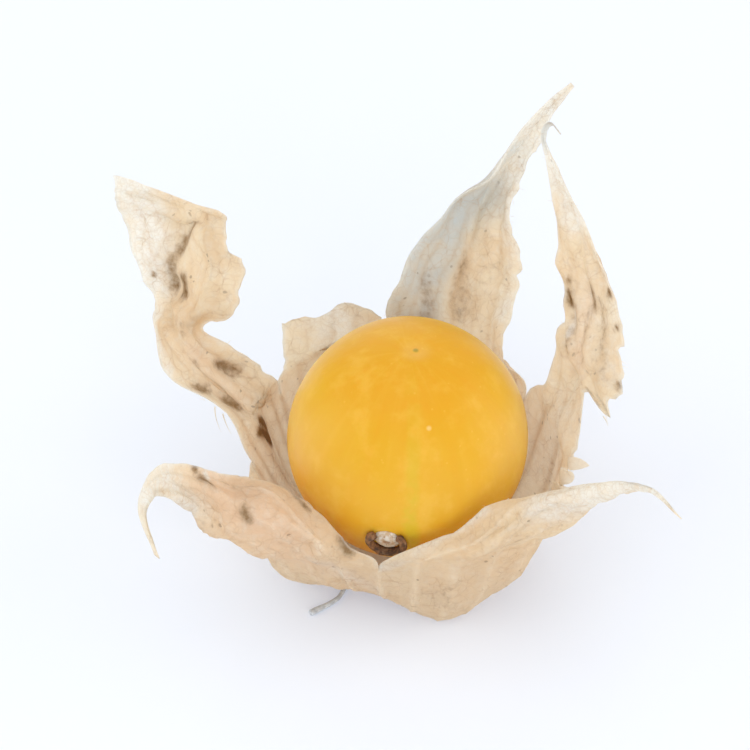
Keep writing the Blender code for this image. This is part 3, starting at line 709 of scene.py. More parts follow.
def lobe_net(lobe):
    """The lobe's stations as an array, with the single point at its tip made a short edge."""
    azimuths = np.array(lobe["azimuths"], float)
    stations = [np.array(station, float) for station in lobe["stations"]]
    if len(stations[-1]) == 1:
        side = TIP_WIDTH * unit(stations[-2][-1] - stations[-2][0])
        spread = np.linspace(-0.5, 0.5, len(azimuths))[:, None]
        stations[-1] = stations[-1] + spread * side
    start = cup_profile(azimuths)[RIM_STATION - 1 :]
    return np.concatenate([start, np.array(stations)])


def torn(station, seed):
    """The share of its depth to which a torn edge is cut: three sine waves of the station."""
    waves = sum(share * np.sin(pace * station + phase * seed) for pace, phase, share in TEAR_WAVES)
    return (waves + TEAR_LEVEL) * smoothstep((station - RIM_STATION - TEAR_START) / TEAR_RISE)


def lobe_points(lobe, net, station, place):
    """The sheet's middle at grids of stations and of places between the rails.

    Up to the rim it is the cup: the profile's cubic curve. In the next station the cup's
    straight run fades into the lobe's own net, whose points are blended with cubic
    weights along it, and partly cubic, partly straight weights across it.
    """
    rails = np.array(lobe["azimuths"], float)
    profile = cup_profile(np.interp(place, np.arange(len(rails)), rails))
    inside = smooth_weights(np.arange(RIM_STATION + 1), np.minimum(station, RIM_STATION))
    cup = np.einsum("sck,kscx->scx", inside, profile)
    past = np.maximum(station - RIM_STATION, 0)[..., None]
    cup += past * (profile[RIM_STATION] - profile[RIM_STATION - 1])
    knots = np.arange(RIM_STATION - 1, RIM_STATION - 1 + len(net))
    along = smooth_weights(knots, np.maximum(station, RIM_STATION))
    smooth = smooth_weights(np.arange(len(rails)), place)
    straight = straight_weights(len(rails), place)
    across = (1 - lobe["crease"]) * smooth + lobe["crease"] * straight
    own = np.einsum("sck,scr,krx->scx", along, across, net, optimize=True)
    fade = smoothstep(station - RIM_STATION)[..., None]
    return (1 - fade) * cup + fade * own


def lobe_rows(net):
    """The stations of a lobe's rows: closer together on the wall, then evenly to the tip."""
    cup = [np.linspace(low, high, count, endpoint=False) for low, high, count in CUP_SPLITS]
    middle = net[1:, net.shape[1] // 2]
    length = np.linalg.norm(np.diff(middle, axis=0), axis=1).sum()
    last = RIM_STATION - 2 + len(net)
    return np.concatenate(cup + [np.linspace(RIM_STATION, last, round(length / ROW_LENGTH))])


def distances(grid, axis):
    """Lengths along a grid's rows (axis 0) or columns (axis 1), added up from its start."""
    steps = np.linalg.norm(np.diff(grid, axis=axis), axis=-1)
    start = np.zeros_like(np.take(steps, [0], axis=axis))
    return np.cumsum(np.concatenate([start, steps], axis=axis), axis=axis)


def edge_cuts(number, lobe, side, station, length, width):
    """How far one torn edge is cut back, in millimetres, at each station along it.

    It is a fine fray, with a nick wherever slow noise rises high, and the edge's steps.
    Length is the distance along the edge, and sets the size of fray and nicks. Each edge
    takes its own place in the noise, apart from those of other lobes and sides.
    """
    apart = [LOBES_APART * number, SIDES_APART * side]
    where = np.c_[length, np.tile(apart, (len(length), 1))]
    nick = smoothstep((noise(where, EDGE_NICK_EVERY, seed=21) - NICK_LEVEL) / NICK_RISE)
    fine = np.abs(noise(where, FRAY_SIZES[0], seed=22)) + noise(where, FRAY_SIZES[1], seed=23)
    cut = lobe["fray"][1 if side else 0] * (EDGE_NICK * nick + EDGE_FRAY * fine)
    for name, step_side, at, before, after, reach in EDGE_STEPS:
        if LOBES[name] is lobe and step_side == side:
            past = smoothstep((station - at) / STEP_LENGTH + 0.5)
            fade = smoothstep(1 - np.abs(station - at) / reach)
            cut = cut + fade * (before * (1 - past) + after * past)
    whole = smoothstep((station - RIM_STATION) / CUT_START) * smoothstep(width / CUT_FULL_WIDTH)
    return cut * whole


def torn_grid(number, lobe, net):
    """Stations and places between the rails for the lobe's grid, with its torn edges cut.

    A cut moves a row's points by its depth times a power of their nearness to the edge.
    A lobe without a tip also has a ragged top: its last stations end a little early.
    """
    rails = len(lobe["azimuths"]) - 1
    row = lobe_rows(net)
    share = np.linspace(0, 1, lobe["columns"] * COLUMN_SPLIT + 1)
    taper = smoothstep((row[-1] - row) / TEAR_TAPER)
    low, high = (
        depth * torn(row, number + phase) * taper
        for depth, phase in zip(lobe["tear"], TEAR_PHASES)
    )
    place = low[:, None] * (1 - share) + (rails - high)[:, None] * share
    station = np.repeat(row[:, None], len(share), axis=1)
    if len(lobe["stations"][-1]) > 1:
        slow, fast = TOP_SWINGS
        notch = np.abs(noise(np.c_[share * fast, share, share], 1, seed=25))
        ragged = noise(np.c_[share * slow, share * 0 + number, share], 1, seed=24)
        ragged = TOP_TEAR * (ragged - TOP_NOTCH * notch)
        station += ragged * smoothstep((station - RIM_STATION) / (row[-1] - RIM_STATION))
    rough = lobe_points(lobe, net, station, place)
    along, width = distances(rough, 0), distances(rough, 1)[:, -1]
    in_rails = rails / np.maximum(width, TIP_WIDTH)
    low = edge_cuts(number, lobe, 0, row, along[:, 0], width) * in_rails
    high = edge_cuts(number, lobe, rails, row, along[:, -1], width) * in_rails
    place += low[:, None] * (1 - share) ** CUT_FALL - high[:, None] * share**CUT_FALL
    return station, place, share


def lobe_relief(number, lobe, row, share, room):
    """How far a lobe's main ribs, broad waves and pleat stand out, where there is room.

    A rib's ridge falls evenly over one column, the waves are sines along and across the
    lobe, and the pleat is a groove where it leaves the cup.
    """
    column = share * lobe["columns"]
    height = np.zeros(row.shape)
    for rib, size in lobe["ribs"].items():
        ridge = np.maximum(1 - np.abs(column - rib), 0)
        height += size * ridge * smoothstep(row - RIB_START) * room
    waves = sum(
        part * np.sin(along * row + across * share + phase * number)
        for along, across, phase, part in WAVES
    )
    calm = smoothstep((row[-1, 0] - row) / TIP_CALM)
    height += WAVE_HEIGHT * waves * smoothstep(row - RIM_STATION) * room * calm
    pleat = np.maximum(1 - np.abs(row - RIM_STATION) / PLEAT_REACH, 0)
    return height - lobe["pleat"] * pleat * np.sin(np.pi * share) ** 2


def lobe_sheet(number, lobe):
    """One lobe with its slice of the cup as a grid of points, and what is known of each.

    The marks are how far the point stands out, how close it is to a rib or side vein,
    its distance from the torn edges, and how brownish, greyish, pale and pink it is. The
    brownish mark is stains and also painted shade, the greyish one mostly painted shade,
    and the pale one bleached places and also painted light.
    """
    net = lobe_net(lobe)
    row, place, share = torn_grid(number, lobe, net)
    grid = lobe_points(lobe, net, row, place)
    across, along = distances(grid, 1), distances(grid, 0)
    width = across[:, -1:]
    edge = np.minimum(across, width - across)
    edge = np.where(row > RIM_STATION, edge, FROM_EDGE_IN_CUP)
    down, beside = np.gradient(grid, axis=0), np.gradient(grid, axis=1)
    area = np.linalg.norm(np.cross(down, beside), axis=-1)
    column_width = COLUMN_SPLIT * area / np.maximum(np.linalg.norm(down, axis=-1), 1e-6)
    room = smoothstep(column_width / FULL_RELIEF_WIDTH)
    height = lobe_relief(number, lobe, row, share, room)

    # Thin ribs, and side veins that leave them at a slant towards the tip
    ribs = [np.abs(across - width * rib / lobe["columns"]) for rib in fine_ribs(lobe)]
    nearest = np.min(ribs, axis=0)
    rib_line = bell(nearest / FINE_RIB_WIDTH)
    phase = along - SIDE_VEIN_SLANT * nearest + layered(grid, SIDE_VEIN_WANDER, seed=31)
    phase = phase / SIDE_VEIN_EVERY
    to_vein = SIDE_VEIN_EVERY * np.abs(phase - np.round(phase))
    side_line = bell(to_vein / SIDE_VEIN_WIDTH) * smoothstep(nearest / SIDE_VEIN_GAP)
    side_line *= np.exp(-nearest / SIDE_VEIN_REACH)
    apart = width / (2 * len(lobe["ribs"]) + 2)
    on = smoothstep(row - VEIN_START) * smoothstep(edge / VEIN_EDGE)
    on = on * smoothstep(apart / VEIN_ROOM) * room
    vein = np.maximum(rib_line, SIDE_VEIN_SHARE * side_line) * on
    height += (FINE_RIB * rib_line + SIDE_VEIN * side_line) * on
    sheet = {"grid": grid, "height": height, "vein": vein, "edge": edge}
    for name, strokes in STROKES.items():
        sheet[name] = strokes_on(strokes, lobe, net, grid)
    return sheet


def sheet_point(name, station, share):
    """The middle of a lobe's sheet at one station and one share of the way across."""
    lobe = LOBES[name]
    place = share * (len(lobe["azimuths"]) - 1)
    return lobe_points(lobe, lobe_net(lobe), np.array([[station]]), np.array([[place]]))[0, 0]


def hair(start, out, radius, bend, sides=FIBRE_SIDES, stretch=1.0, bluntness=1):
    """A thin tube that leaves a point along out and bends as the way's square.

    Its radius falls with the way raised to its bluntness, down to a small share at the tip.
    """
    share = np.linspace(0, 1, 2 * sides)[:, None]
    path = start + share * out + share**2 * bend
    radius = radius * (1 + HAIR_TIP - share[:, 0] ** bluntness)
    return tube(path, radius, sides, np.cross(out, HAIR_AXIS), stretch=stretch)


def lobe_hairs(number, lobe, draw):
    """Hairs on one lobe's torn edges: rows, sides, directions, lengths and bends are drawn."""
    net = lobe_net(lobe)
    station, place, _ = torn_grid(number, lobe, net)
    grid = lobe_points(lobe, net, station, place)
    row = station[:, 0]
    near, far = RIM_STATION + HAIRS_FROM_RIM, row[-1] - HAIRS_FROM_TIP
    torn_rows = np.flatnonzero((row > near) & (row < far))
    count = min(HAIRS_PER_LOBE, len(torn_rows))
    solids = []
    for i in draw.choice(torn_rows, size=count, replace=False):
        side = draw.integers(2)
        edge, inner = (grid[i, -1], grid[i, -2]) if side else (grid[i, 0], grid[i, 1])
        out = (edge - inner) / max(np.linalg.norm(edge - inner), 1e-6)
        out = out + draw.uniform(-HAIR_SPREAD, HAIR_SPREAD, 3)
        length = draw.uniform(*HAIR_LENGTH)
        bend = draw.uniform(-HAIR_BEND, HAIR_BEND, 3)
        solids.append(hair(inner, length * out, HAIR_RADIUS, length * bend))
    return solids


def fibre_surface():
    """The hairs on the torn edges, with a seeded draw, the loose fibres and the scraps."""
    draw = np.random.default_rng(17)
    solids = []
    for number, lobe in enumerate(LOBES.values()):
        solids += lobe_hairs(number, lobe, draw)
    scrap = SCRAP_SIDES, SCRAP_FLATNESS, SCRAP_BLUNTNESS
    loose = [(*fibre, FIBRE_RADIUS) for fibre in LOOSE_FIBRES]
    for pieces, shape in ((loose, ()), (SCRAPS, scrap)):
        for name, station, share, ends, bend, radius in pieces:
            start, end = np.array(ends)
            at = sheet_point(name, station, share) + start
            solids.append(hair(at, end - start, radius, np.array(bend), *shape))
    return joined(solids)


def fine_ribs(lobe):
    """The columns of the thin ribs: the lobe's own ribs, and one midway between them."""
    own = [0, *sorted(lobe["ribs"]), lobe["columns"]]
    between = [(a + b) / 2 for a, b in zip(own, own[1:])]
    return sorted(own + between)


def strokes_on(strokes, lobe, net, grid):
    """How strongly strokes show: in full along their middle, falling evenly to none.

    A stroke's middle runs straight between the points of the sheet at its stations and
    shares, and it ends at its half width from that line.
    """
    rails = len(lobe["azimuths"]) - 1
    total = np.zeros(grid.shape[:2])
    for name, places, half_width, strength in strokes:
        if LOBES[name] is not lobe:
            continue
        station, share = np.array(places, float).T[..., None]
        middle = lobe_points(lobe, net, station, share * rails)[:, 0]
        for start, end in zip(middle, [*middle[1:], middle[-1]]):
            run = end - start
            part = np.clip((grid - start) @ run / max(run @ run, 1e-9), 0, 1)
            away = np.linalg.norm(grid - start - part[..., None] * run, axis=-1)
            total = np.maximum(total, strength * (1 - away / half_width))
    return total


def husk_surface(thickness):
    """The husk: all lobes welded along the cup, their relief raised, then given thickness.

    The sheet's two sides lie half the thickness off its middle and meet round the edge.
    """
    sheets = [lobe_sheet(number, lobe) for number, lobe in enumerate(LOBES.values())]
    faces, first = [], 0
    for sheet in sheets:
        faces.append(grid_faces(*sheet["height"].shape, first))
        first += sheet["height"].size
    points = np.concatenate([sheet["grid"].reshape(-1, 3) for sheet in sheets])
    points, faces, kept = weld(points, np.concatenate(faces))
    marks = {
        name: np.concatenate([sheet[name].reshape(-1) for sheet in sheets])[kept]
        for name in ("height", "vein", "edge", *STROKES)
    }
    crumple = layered(points, CRUMPLE, seed=40)
    crumple *= smoothstep((points[:, 2] - FOOT_CALM) / FOOT_CALM_HEIGHT)
    points += normals(points, faces) * (marks.pop("height") + crumple)[:, None]
    thick = thickness * (1 + VEIN_THICKENING * marks["vein"])
    thick *= 1 - EDGE_THINNING * (1 - smoothstep(marks["edge"] / EDGE_THIN_WIDTH))
    half = normals(points, faces) * thick[:, None] / 2

    # The rim joins the two sides along every edge that only one triangle has
    ends = np.concatenate([faces[:, [0, 1]], faces[:, [1, 2]], faces[:, [2, 0]]])
    under = len(points)
    number, back = ends @ [under, 1], ends @ [1, under]
    a, b = ends[~np.isin(back, number)].T
    rim = [np.stack([b, a, a + under], axis=1), np.stack([b, a + under, b + under], axis=1)]
    solid = np.concatenate([points + half, points - half])
    solid[:, 2] = np.maximum(solid[:, 2], 0)
    marks = {name: np.tile(values, 2) for name, values in marks.items()}
    return solid, np.concatenate([faces, faces[:, ::-1] + under, *rim]), marks


def stem_surface():
    """The stem: a thin ridged tube along its route, slimmer between its two ends."""
    knots = np.arange(len(STEM_ROUTE))
    place = np.linspace(0, knots[-1], STEM_POINTS)
    path = curve_through(knots, np.array(STEM_ROUTE), place)
    waist = STEM_WAIST * smoothstep(place / 2) * smoothstep(knots[-1] - place)
    radius = STEM_RADIUS * (STEM_ENDS - waist) * (1 + layered(path, STEM_UNEVEN, seed=61))
    bark = tube(path, radius, STEM_SIDES, [0, 0, 1.0], ridges=STEM_RIDGES)
    return roughened(*bark, STEM_ROUGH, seed=62)


class Value:
    """A shader socket that can be used in sums: each operator adds a Math node."""

    def __init__(self, shader, socket):
        self.shader = shader
        self.socket = socket

    def maths(self, operation, first, second):
        """A Math node on two values or numbers."""
        return self.shader.node("ShaderNodeMath", {"operation": operation}, {0: first, 1: second})

    def __add__(self, other):
        return self.maths("ADD", self, other)

    def __sub__(self, other):
        return self.maths("SUBTRACT", self, other)

    def __rsub__(self, other):
        return self.maths("SUBTRACT", other, self)

    def __mul__(self, other):
        return self.maths("MULTIPLY", self, other)

    __radd__ = __add__
    __rmul__ = __mul__


class Shader:
    """One material and the nodes it is made of."""

    def __init__(self, name):
        self.material = bpy.data.materials.new(name)
        self.material.use_nodes = True
        self.tree = self.material.node_tree
        self.tree.nodes.clear()

    def node(self, kind, settings=None, sockets=None, output=0):
        """A node: its settings first, then its sockets' values or links. Gives one output."""
        made = self.tree.nodes.new(kind)
        for name, value in (settings or {}).items():
            setattr(made, name, value)
        for key, value in (sockets or {}).items():
            if isinstance(value, Value):
                self.tree.links.new(value.socket, made.inputs[key])
            else:
                made.inputs[key].default_value = value
        return None if output is None else Value(self, made.outputs[output])

    def step(self, value, low, high):
        """0 below low and 1 above high, smooth between. Low may be the larger one."""
        sockets = {"Value": value, "From Min": low, "From Max": high}
        return self.node("ShaderNodeMapRange", {"interpolation_type": "SMOOTHSTEP"}, sockets)

    def mix(self, share, first, second):
        """Two colours mixed: the first at share 0 and the second at share 1."""
        first = first if isinstance(first, Value) else (*first, 1)
        second = second if isinstance(second, Value) else (*second, 1)
        sockets = {0: share, 6: first, 7: second}
        return self.node("ShaderNodeMix", {"data_type": "RGBA"}, sockets, 2)

    def coats(self, colour, *coats):
        """A colour with others laid over it in turn, each given as its share and colour."""
        for share, tint in coats:
            colour = self.mix(share, colour, tint)
        return colour

    def attribute(self, name):
        """A value that the mesh holds at each of its points."""
        return self.node("ShaderNodeAttribute", {"attribute_name": name}, None, "Fac")

    def vector(self, operation, first, second, output="Vector"):
        """Vector maths on two places, or on a place and the number that scales it."""
        key = "Scale" if operation == "SCALE" else 1
        settings = {"operation": operation}
        return self.node("ShaderNodeVectorMath", settings, {0: first, key: second}, output)

    def millimetres(self):
        """The point's place in the object, in millimetres."""
        return self.vector("SCALE", self.node("ShaderNodeTexCoord", output="Object"), 1 / MM)

    def distance(self, place, point):
        """How far a place is from a point."""
        return self.vector("DISTANCE", place, tuple(point), "Value")

    def axis(self, place, name):
        """A place's distance along X, Y or Z."""
        return self.node("ShaderNodeSeparateXYZ", None, {0: place}, name)

    def noise(self, place, size, detail=3.0, roughness=0.5, output="Fac"):
        """Soft random patches of about the given size in millimetres, from 0 to 1."""
        sockets = {"Vector": place, "Scale": 1 / size, "Detail": detail, "Roughness": roughness}
        return self.node("ShaderNodeTexNoise", None, sockets, output)

    def warped(self, place, size, depth):
        """A place pushed about by noise, so that patterns on it lose their straight lines."""
        push = self.vector("SUBTRACT", self.noise(place, size, 2.0, output="Color"), (0.5,) * 3)
        return self.vector("ADD", place, self.vector("SCALE", push, depth))

    def cells(self, place, size, feature="F1", output="Distance"):
        """How far the nearest of scattered points, or the edge between their cells, is.

        The distance is in shares of a cell. The other output is the cell's own colour.
        """
        sockets = {"Vector": place, "Scale": 1 / size}
        return self.node("ShaderNodeTexVoronoi", {"feature": feature}, sockets, output)

    def net(self, place, size, width):
        """1 on the lines between cells of a size and 0 from a width in shares of a cell."""
        return self.step(self.cells(place, size, "DISTANCE_TO_EDGE"), width, 0.0)

    def bump(self, height, relief):
        """A normal that leans as if the surface stood out by height times the relief."""
        sockets = {"Height": height, "Distance": relief * MM, "Strength": 1.0}
        return self.node("ShaderNodeBump", None, sockets)

    def surface(self, colour, roughness, normal, **constants):
        """An opaque surface. Constants are named as its sockets are, with _ for a space."""
        sockets = {"Base Color": colour, "Roughness": roughness, "Normal": normal}
        sockets |= {name.replace("_", " "): value for name, value in constants.items()}
        return self.node("ShaderNodeBsdfPrincipled", None, sockets)

    def finish(self, surface):
        """Links the surface to the output and gives the material."""
        self.node("ShaderNodeOutputMaterial", None, {"Surface": surface}, None)
        return self.material


def skin_material(look):
    """The berry's skin: golden, deeper at the top, with painted shade low down and on the lower
    left, streaks, a green seam, a painted highlight spot and a painted pale sheen round its outline.

    Places are millimetres from the berry's middle.
    """
    s = Shader("ripe skin")
    place = s.vector("SUBTRACT", s.millimetres(), tuple(AXIS + [0, 0, BERRY_HEIGHT]))
    x, y, z = (s.axis(place, name) for name in "XYZ")
    broad = s.noise(place, 6.0, 3.0) - 0.5
    # Painted shade: the skin is made deeper low down and on the lower left, where the husk and the
    # light from above leave it darker
    low = s.step(z + broad * 8.0, 2.0, -9.0)
    left = s.step(x + broad * 6.0, -2.0, -11.0) * s.step(z, 7.0, -4.0)
    patches = s.step(s.noise(place, 2.6, 4.0, 0.6), 0.45, 0.7)

    # Faint streaks run from the style scar to the foot, as the flesh's veins show through
    turn = s.node("ShaderNodeMath", {"operation": "ARCTAN2"}, {0: y, 1: x})
    streak_place = s.node("ShaderNodeCombineXYZ", None, {"X": turn * 6.0, "Y": z * 0.12})
    streaks = s.noise(streak_place, 1.0, 2.0)

    # A greenish seam runs down the front, its line wandering and broken up
    across = x + (s.noise(place, 3.0, 3.0) - 0.5) * 1.2
    seam = s.step(across, 1.2, 0.5) * s.step(across, -0.6, 0.1) * s.step(y, 0.0, -4.0)
    seam = seam * s.step(s.noise(place, 1.8, 3.0), 0.25, 0.5) * s.step(z, 13.0, 0.0)

    # Small flecks, a painted highlight spot, and the ring and dot of the style scar
    flecks = s.step(s.cells(place, FLECK_SIZE), 0.12, 0.04)
    painted_glint = s.step(s.distance(place, np.array(PAINTED_GLINT_SIDE) * BERRY_RADIUS), 0.3, 0.08)
    from_style = s.distance(place, unit(STYLE_SIDE) * BERRY_RADIUS)

    # A painted pale sheen on the upper sides, in a band where the skin turns from the camera's side
    # towards the husk: it stands in for the pale rim that light gives the berry's outline
    front = s.vector("DOT_PRODUCT", place, CAMERA_SIDE, "Value") * (1 / BERRY_RADIUS)
    turned = s.node("ShaderNodeMath", {"operation": "MAXIMUM"}, {0: front, 1: 0.0})
    turned = 1 - s.node("ShaderNodeMath", {"operation": "POWER"}, {0: turned, 1: 0.7})
    painted_rim_sheen = turned * s.step(z, 8.0, 4.0) * s.step(z, -1.0, 3.5) * s.step(front, -0.7, -0.1)
    colour = s.coats(
        look.golden,
        (low * 0.9, look.deep_and_shade),
        (s.step(z, 6.5, 9.5) * 0.35, look.deep_and_shade),
        (left * 0.85, look.deep_and_shade),
        (patches * 0.45, look.pale),
        (s.step(streaks, 0.5, 0.75) * 0.16, look.pale),
        (s.step(streaks, 0.5, 0.25) * 0.16, look.deep_and_shade),
        (seam * 0.65, look.green),
        (flecks * 0.4, look.pale),
        (painted_glint * 0.6, look.bloom_and_sheen),
        (s.step(from_style, 1.7, 0.4) * 0.16, look.bloom_and_sheen),
        (s.step(from_style, 0.36, 0.12) * 0.8, look.dot),
        (painted_rim_sheen * 0.5, look.bloom_and_sheen),
    )
    skin = s.surface(
        colour,
        0.32 + 0.16 * s.noise(place, 2.5, 2.0),
        s.bump(s.noise(place, 1.6, 2.0) * 0.8 + s.noise(place, 0.35, 2.0) * 0.2, SKIN_RELIEF),
        IOR=1.36,
        Specular_IOR_Level=0.25,
        Subsurface_Weight=0.35,
        Subsurface_Radius=(1.0, 0.45, 0.1),
        Subsurface_Scale=2.2 * MM,
        Coat_Weight=0.04,
        Coat_Roughness=0.25,
    )
    return s.finish(skin)


def cork_material(look):
    """The ring's dead, brown tissue: rough, with dark and pale patches."""
    s = Shader("corky ring")
    place = s.millimetres()
    colour = s.coats(
        look.cork_dark,
        (s.step(s.noise(place, 0.5, 4.0, 0.6), 0.35, 0.65), look.cork),
        (s.step(s.noise(place, 0.9, 3.0), 0.55, 0.7) * 0.5, look.cork_pale),
    )
    return s.finish(s.surface(colour, 0.62, s.bump(s.noise(place, 0.18, 4.0, 0.65), CORK_RELIEF)))


def pad_material(look):
    """The papery middle of the scar: pale, mottled with brown, with a brown dot."""
    s = Shader("papery scar")
    place = s.millimetres()
    dot = AXIS + [0, 0, BERRY_HEIGHT] + cork_frame()[0] * (BERRY_RADIUS + PAD_DOT_HEIGHT)
    colour = s.coats(
        look.cork_pale,
        (s.step(s.noise(place, 0.4, 4.0, 0.6), 0.38, 0.62), look.pad),
        (s.step(s.noise(place, 0.3, 2.0), 0.6, 0.68) * 0.6, look.cork),
        (s.step(s.distance(place, dot), 0.36, 0.22) * 0.75, look.cork),
    )
    return s.finish(s.surface(colour, 0.7, s.bump(s.noise(place, 0.2, 4.0, 0.6), PAD_RELIEF)))


def husk_material(look):
    """The husk's dry sheet: tan and papery, netted with veins, and light shines through it.

    Brownish, greyish, pale and pink regions, ribs and edges come from values held at the
    mesh's points. The brownish regions are stains and also painted shade in the left lobe's
    fold seam and in a crease low on the front left lobe; the greyish ones are painted shade;
    the pale ones are bleached places and also painted light on lit faces. The torn edges
    get a pale band that is partly their own paleness and partly a painted highlight, and
    the cup is painted lighter low down, against its shade. The nets of veins are the edges
    of warped cells in three sizes, and their lines come and go with noise. Light that
    passes crosses both sides of the sheet, so the colour it takes at each is lighter.
    """
    s = Shader("dry husk")
    place = s.millimetres()
    pale, grey, pink = (s.step(s.attribute(name), 0.0, 1.0) for name in ("pale", "grey", "pink"))
    brown, vein, edge = (s.attribute(name) for name in ("brown", "vein", "edge"))
    cloud = s.noise(place, 5.0, 3.0, 0.55)
    mottle = s.noise(place, 0.8, 3.0, 0.65)
    ragged = s.noise(place, 0.55, 3.0, 0.6) - 0.5

    warped = s.warped(s.warped(place, 3.0, 1.6), 0.9, 0.5)
    come_and_go = s.step(s.noise(place, 2.2, 3.0), 0.35, 0.65)
    wide, middle, small = (s.net(warped, *sizes) for sizes in NET)
    middle = middle * (0.3 + 0.7 * come_and_go)
    lines = wide * come_and_go * 0.32 + middle * 0.2 + small * (0.07 + 0.13 * pale) + vein * 0.2
    cells = s.cells(warped, NET[1][0], output="Color")
    cells = s.node("ShaderNodeSeparateColor", None, {0: cells})
    specks = s.step(s.cells(warped, SPECK_SIZE), 0.15, 0.07)
    specks = specks * s.step(s.noise(place, 4.0, 2.0), 0.46, 0.6)
    stain_and_shade = s.step(brown + ragged * 0.9, 0.15, 1.0)
    colour = s.coats(
        look.tan,
        (s.step(cloud, 0.3, 0.7), look.light),
        (pink * 0.75, look.pink),
        (s.step(mottle, 0.42, 0.7) * 0.35, look.cream_and_highlight),
        # Painted light as well as bleached places: the pale strokes
        (pale * (0.65 + 0.35 * s.step(mottle, 0.35, 0.6)), look.cream_and_highlight),
        # Painted shade: the greyish strokes
        (grey * (0.55 + 0.45 * s.step(cloud, 0.35, 0.6)), look.grey),
        (cells * 0.14, look.tan),
        # Painted light: the cup is lighter low down, against the shade that falls there
        (s.step(s.axis(place, "Z"), 18.0, 6.0) * 0.5, look.light),
        (lines, look.vein),
        (s.step(brown + ragged * 0.6, 0.0, 0.8) * 0.6, look.vein),
        # Stains, and painted shade in the left lobe's fold seam and the front left crease
        (stain_and_shade * 0.95, look.brown),
        (specks * 0.6, look.brown),
        # A pale band along the torn edges: partly their own paleness, partly a painted highlight
        (s.step(edge, 0.5, 0.0) * 0.4, look.cream_and_highlight),
    )
    normal = s.bump(middle * 0.45 + s.noise(place, 0.25, 3.0, 0.6) * 0.4, HUSK_RELIEF)
    sheet = s.surface(colour, 0.6 + 0.2 * mottle, normal, IOR=1.38)
    lit = s.mix(0.5, colour, look.cream_and_highlight)
    through = s.node("ShaderNodeBsdfTranslucent", None, {"Color": lit, "Normal": normal})
    share = (1 - 0.35 * vein) * (1 - stain_and_shade) * look.see_through
    return s.finish(s.node("ShaderNodeMixShader", None, {0: share, 1: sheet, 2: through}))


def stem_material(look):
    """The stem's bark: grey, in darker and lighter patches."""
    s = Shader("stem bark")
    place = s.millimetres()
    patches = s.step(s.noise(place, 0.7, 4.0, 0.6), 0.35, 0.7)
    colour = s.mix(patches, look.bark_dark, look.bark)
    return s.finish(s.surface(colour, 0.75, s.bump(s.noise(place, 0.15, 4.0, 0.6), BARK_RELIEF)))


def table_material(look):
    """The table: a plain pale sheet with the faintest unevenness, glowing a little."""
    s = Shader("pale table")
    place = s.millimetres()
    paler = tuple(np.add(look.table, TABLE_CLOUD))
    sockets = {
        "Base Color": s.mix(s.noise(place, 60.0, 2.0) * 0.3, look.table, paler),
        "Roughness": 0.6 + 0.1 * s.noise(place, 30.0, 2.0),
        "Emission Color": (*look.glow, 1),
        "Emission Strength": look.glow_strength,
    }
    return s.finish(s.node("ShaderNodeBsdfPrincipled", None, sockets))


def piece(name, points, faces, material, marks=None):
    """A smooth-shaded object at the origin, with its place and its marks in its mesh."""
    mesh = bpy.data.meshes.new(name)
    mesh.from_pydata(((points + AXIS) * MM).tolist(), [], faces.tolist())
    for mark, values in (marks or {}).items():
        made = mesh.attributes.new(mark, "FLOAT", "POINT")
        made.data.foreach_set("value", values.astype(np.float32))
    mesh.materials.append(material)
    mesh.shade_smooth()
    made = bpy.data.objects.new(name, mesh)
    bpy.context.collection.objects.link(made)
    return made


def fit(made, node):
    """The piece rides on the part's one body, and the part's own mesh of its node is hidden."""
    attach(made, "root")
    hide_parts(node)


def colour_property(name, default, description):
    """A colour that a user may change."""
    return bpy.props.FloatVectorProperty(
        name=name, description=description, subtype="COLOR", size=3, min=0, max=1, default=default
    )


def number_property(name, default, description, **more):
    """A number, 0 or more unless it says otherwise, that a user may change."""
    more = {"name": name, "description": description, "default": default, "min": 0} | more
    return bpy.props.FloatProperty(**more)


class GroundCherryBerry(bpy.types.PropertyGroup):
    """Colours of the berry's skin and its corky scar."""

    golden: colour_property("Golden", (0.705, 0.38, 0.018), "Skin in the light")
    # Also painted shade, low down and on the lower left
    deep_and_shade: colour_property("Deep", (0.73, 0.30, 0.009), "Skin low down and on the left")
    pale: colour_property("Pale", (0.80, 0.48, 0.07), "Streaks and patches in the skin")
    # Also the colour of the painted pale sheen round the outline and of the painted highlight spot
    bloom_and_sheen: colour_property("Bloom", (0.86, 0.62, 0.24), "Shoulder, fleck and style scar's ring")
    green: colour_property("Green", (0.60, 0.44, 0.018), "Seam down the front")
    dot: colour_property("Dot", (0.30, 0.25, 0.04), "Dot of the style scar")
    cork: colour_property("Cork", (0.29, 0.135, 0.055), "The corky ring")
    cork_dark: colour_property("Dark cork", (0.07, 0.03, 0.015), "Dark patches of the ring")
    cork_pale: colour_property("Pale cork", (0.52, 0.36, 0.22), "Pale patches of ring and scar")
    pad: colour_property("Papery scar", (0.68, 0.61, 0.52), "Middle of the scar")


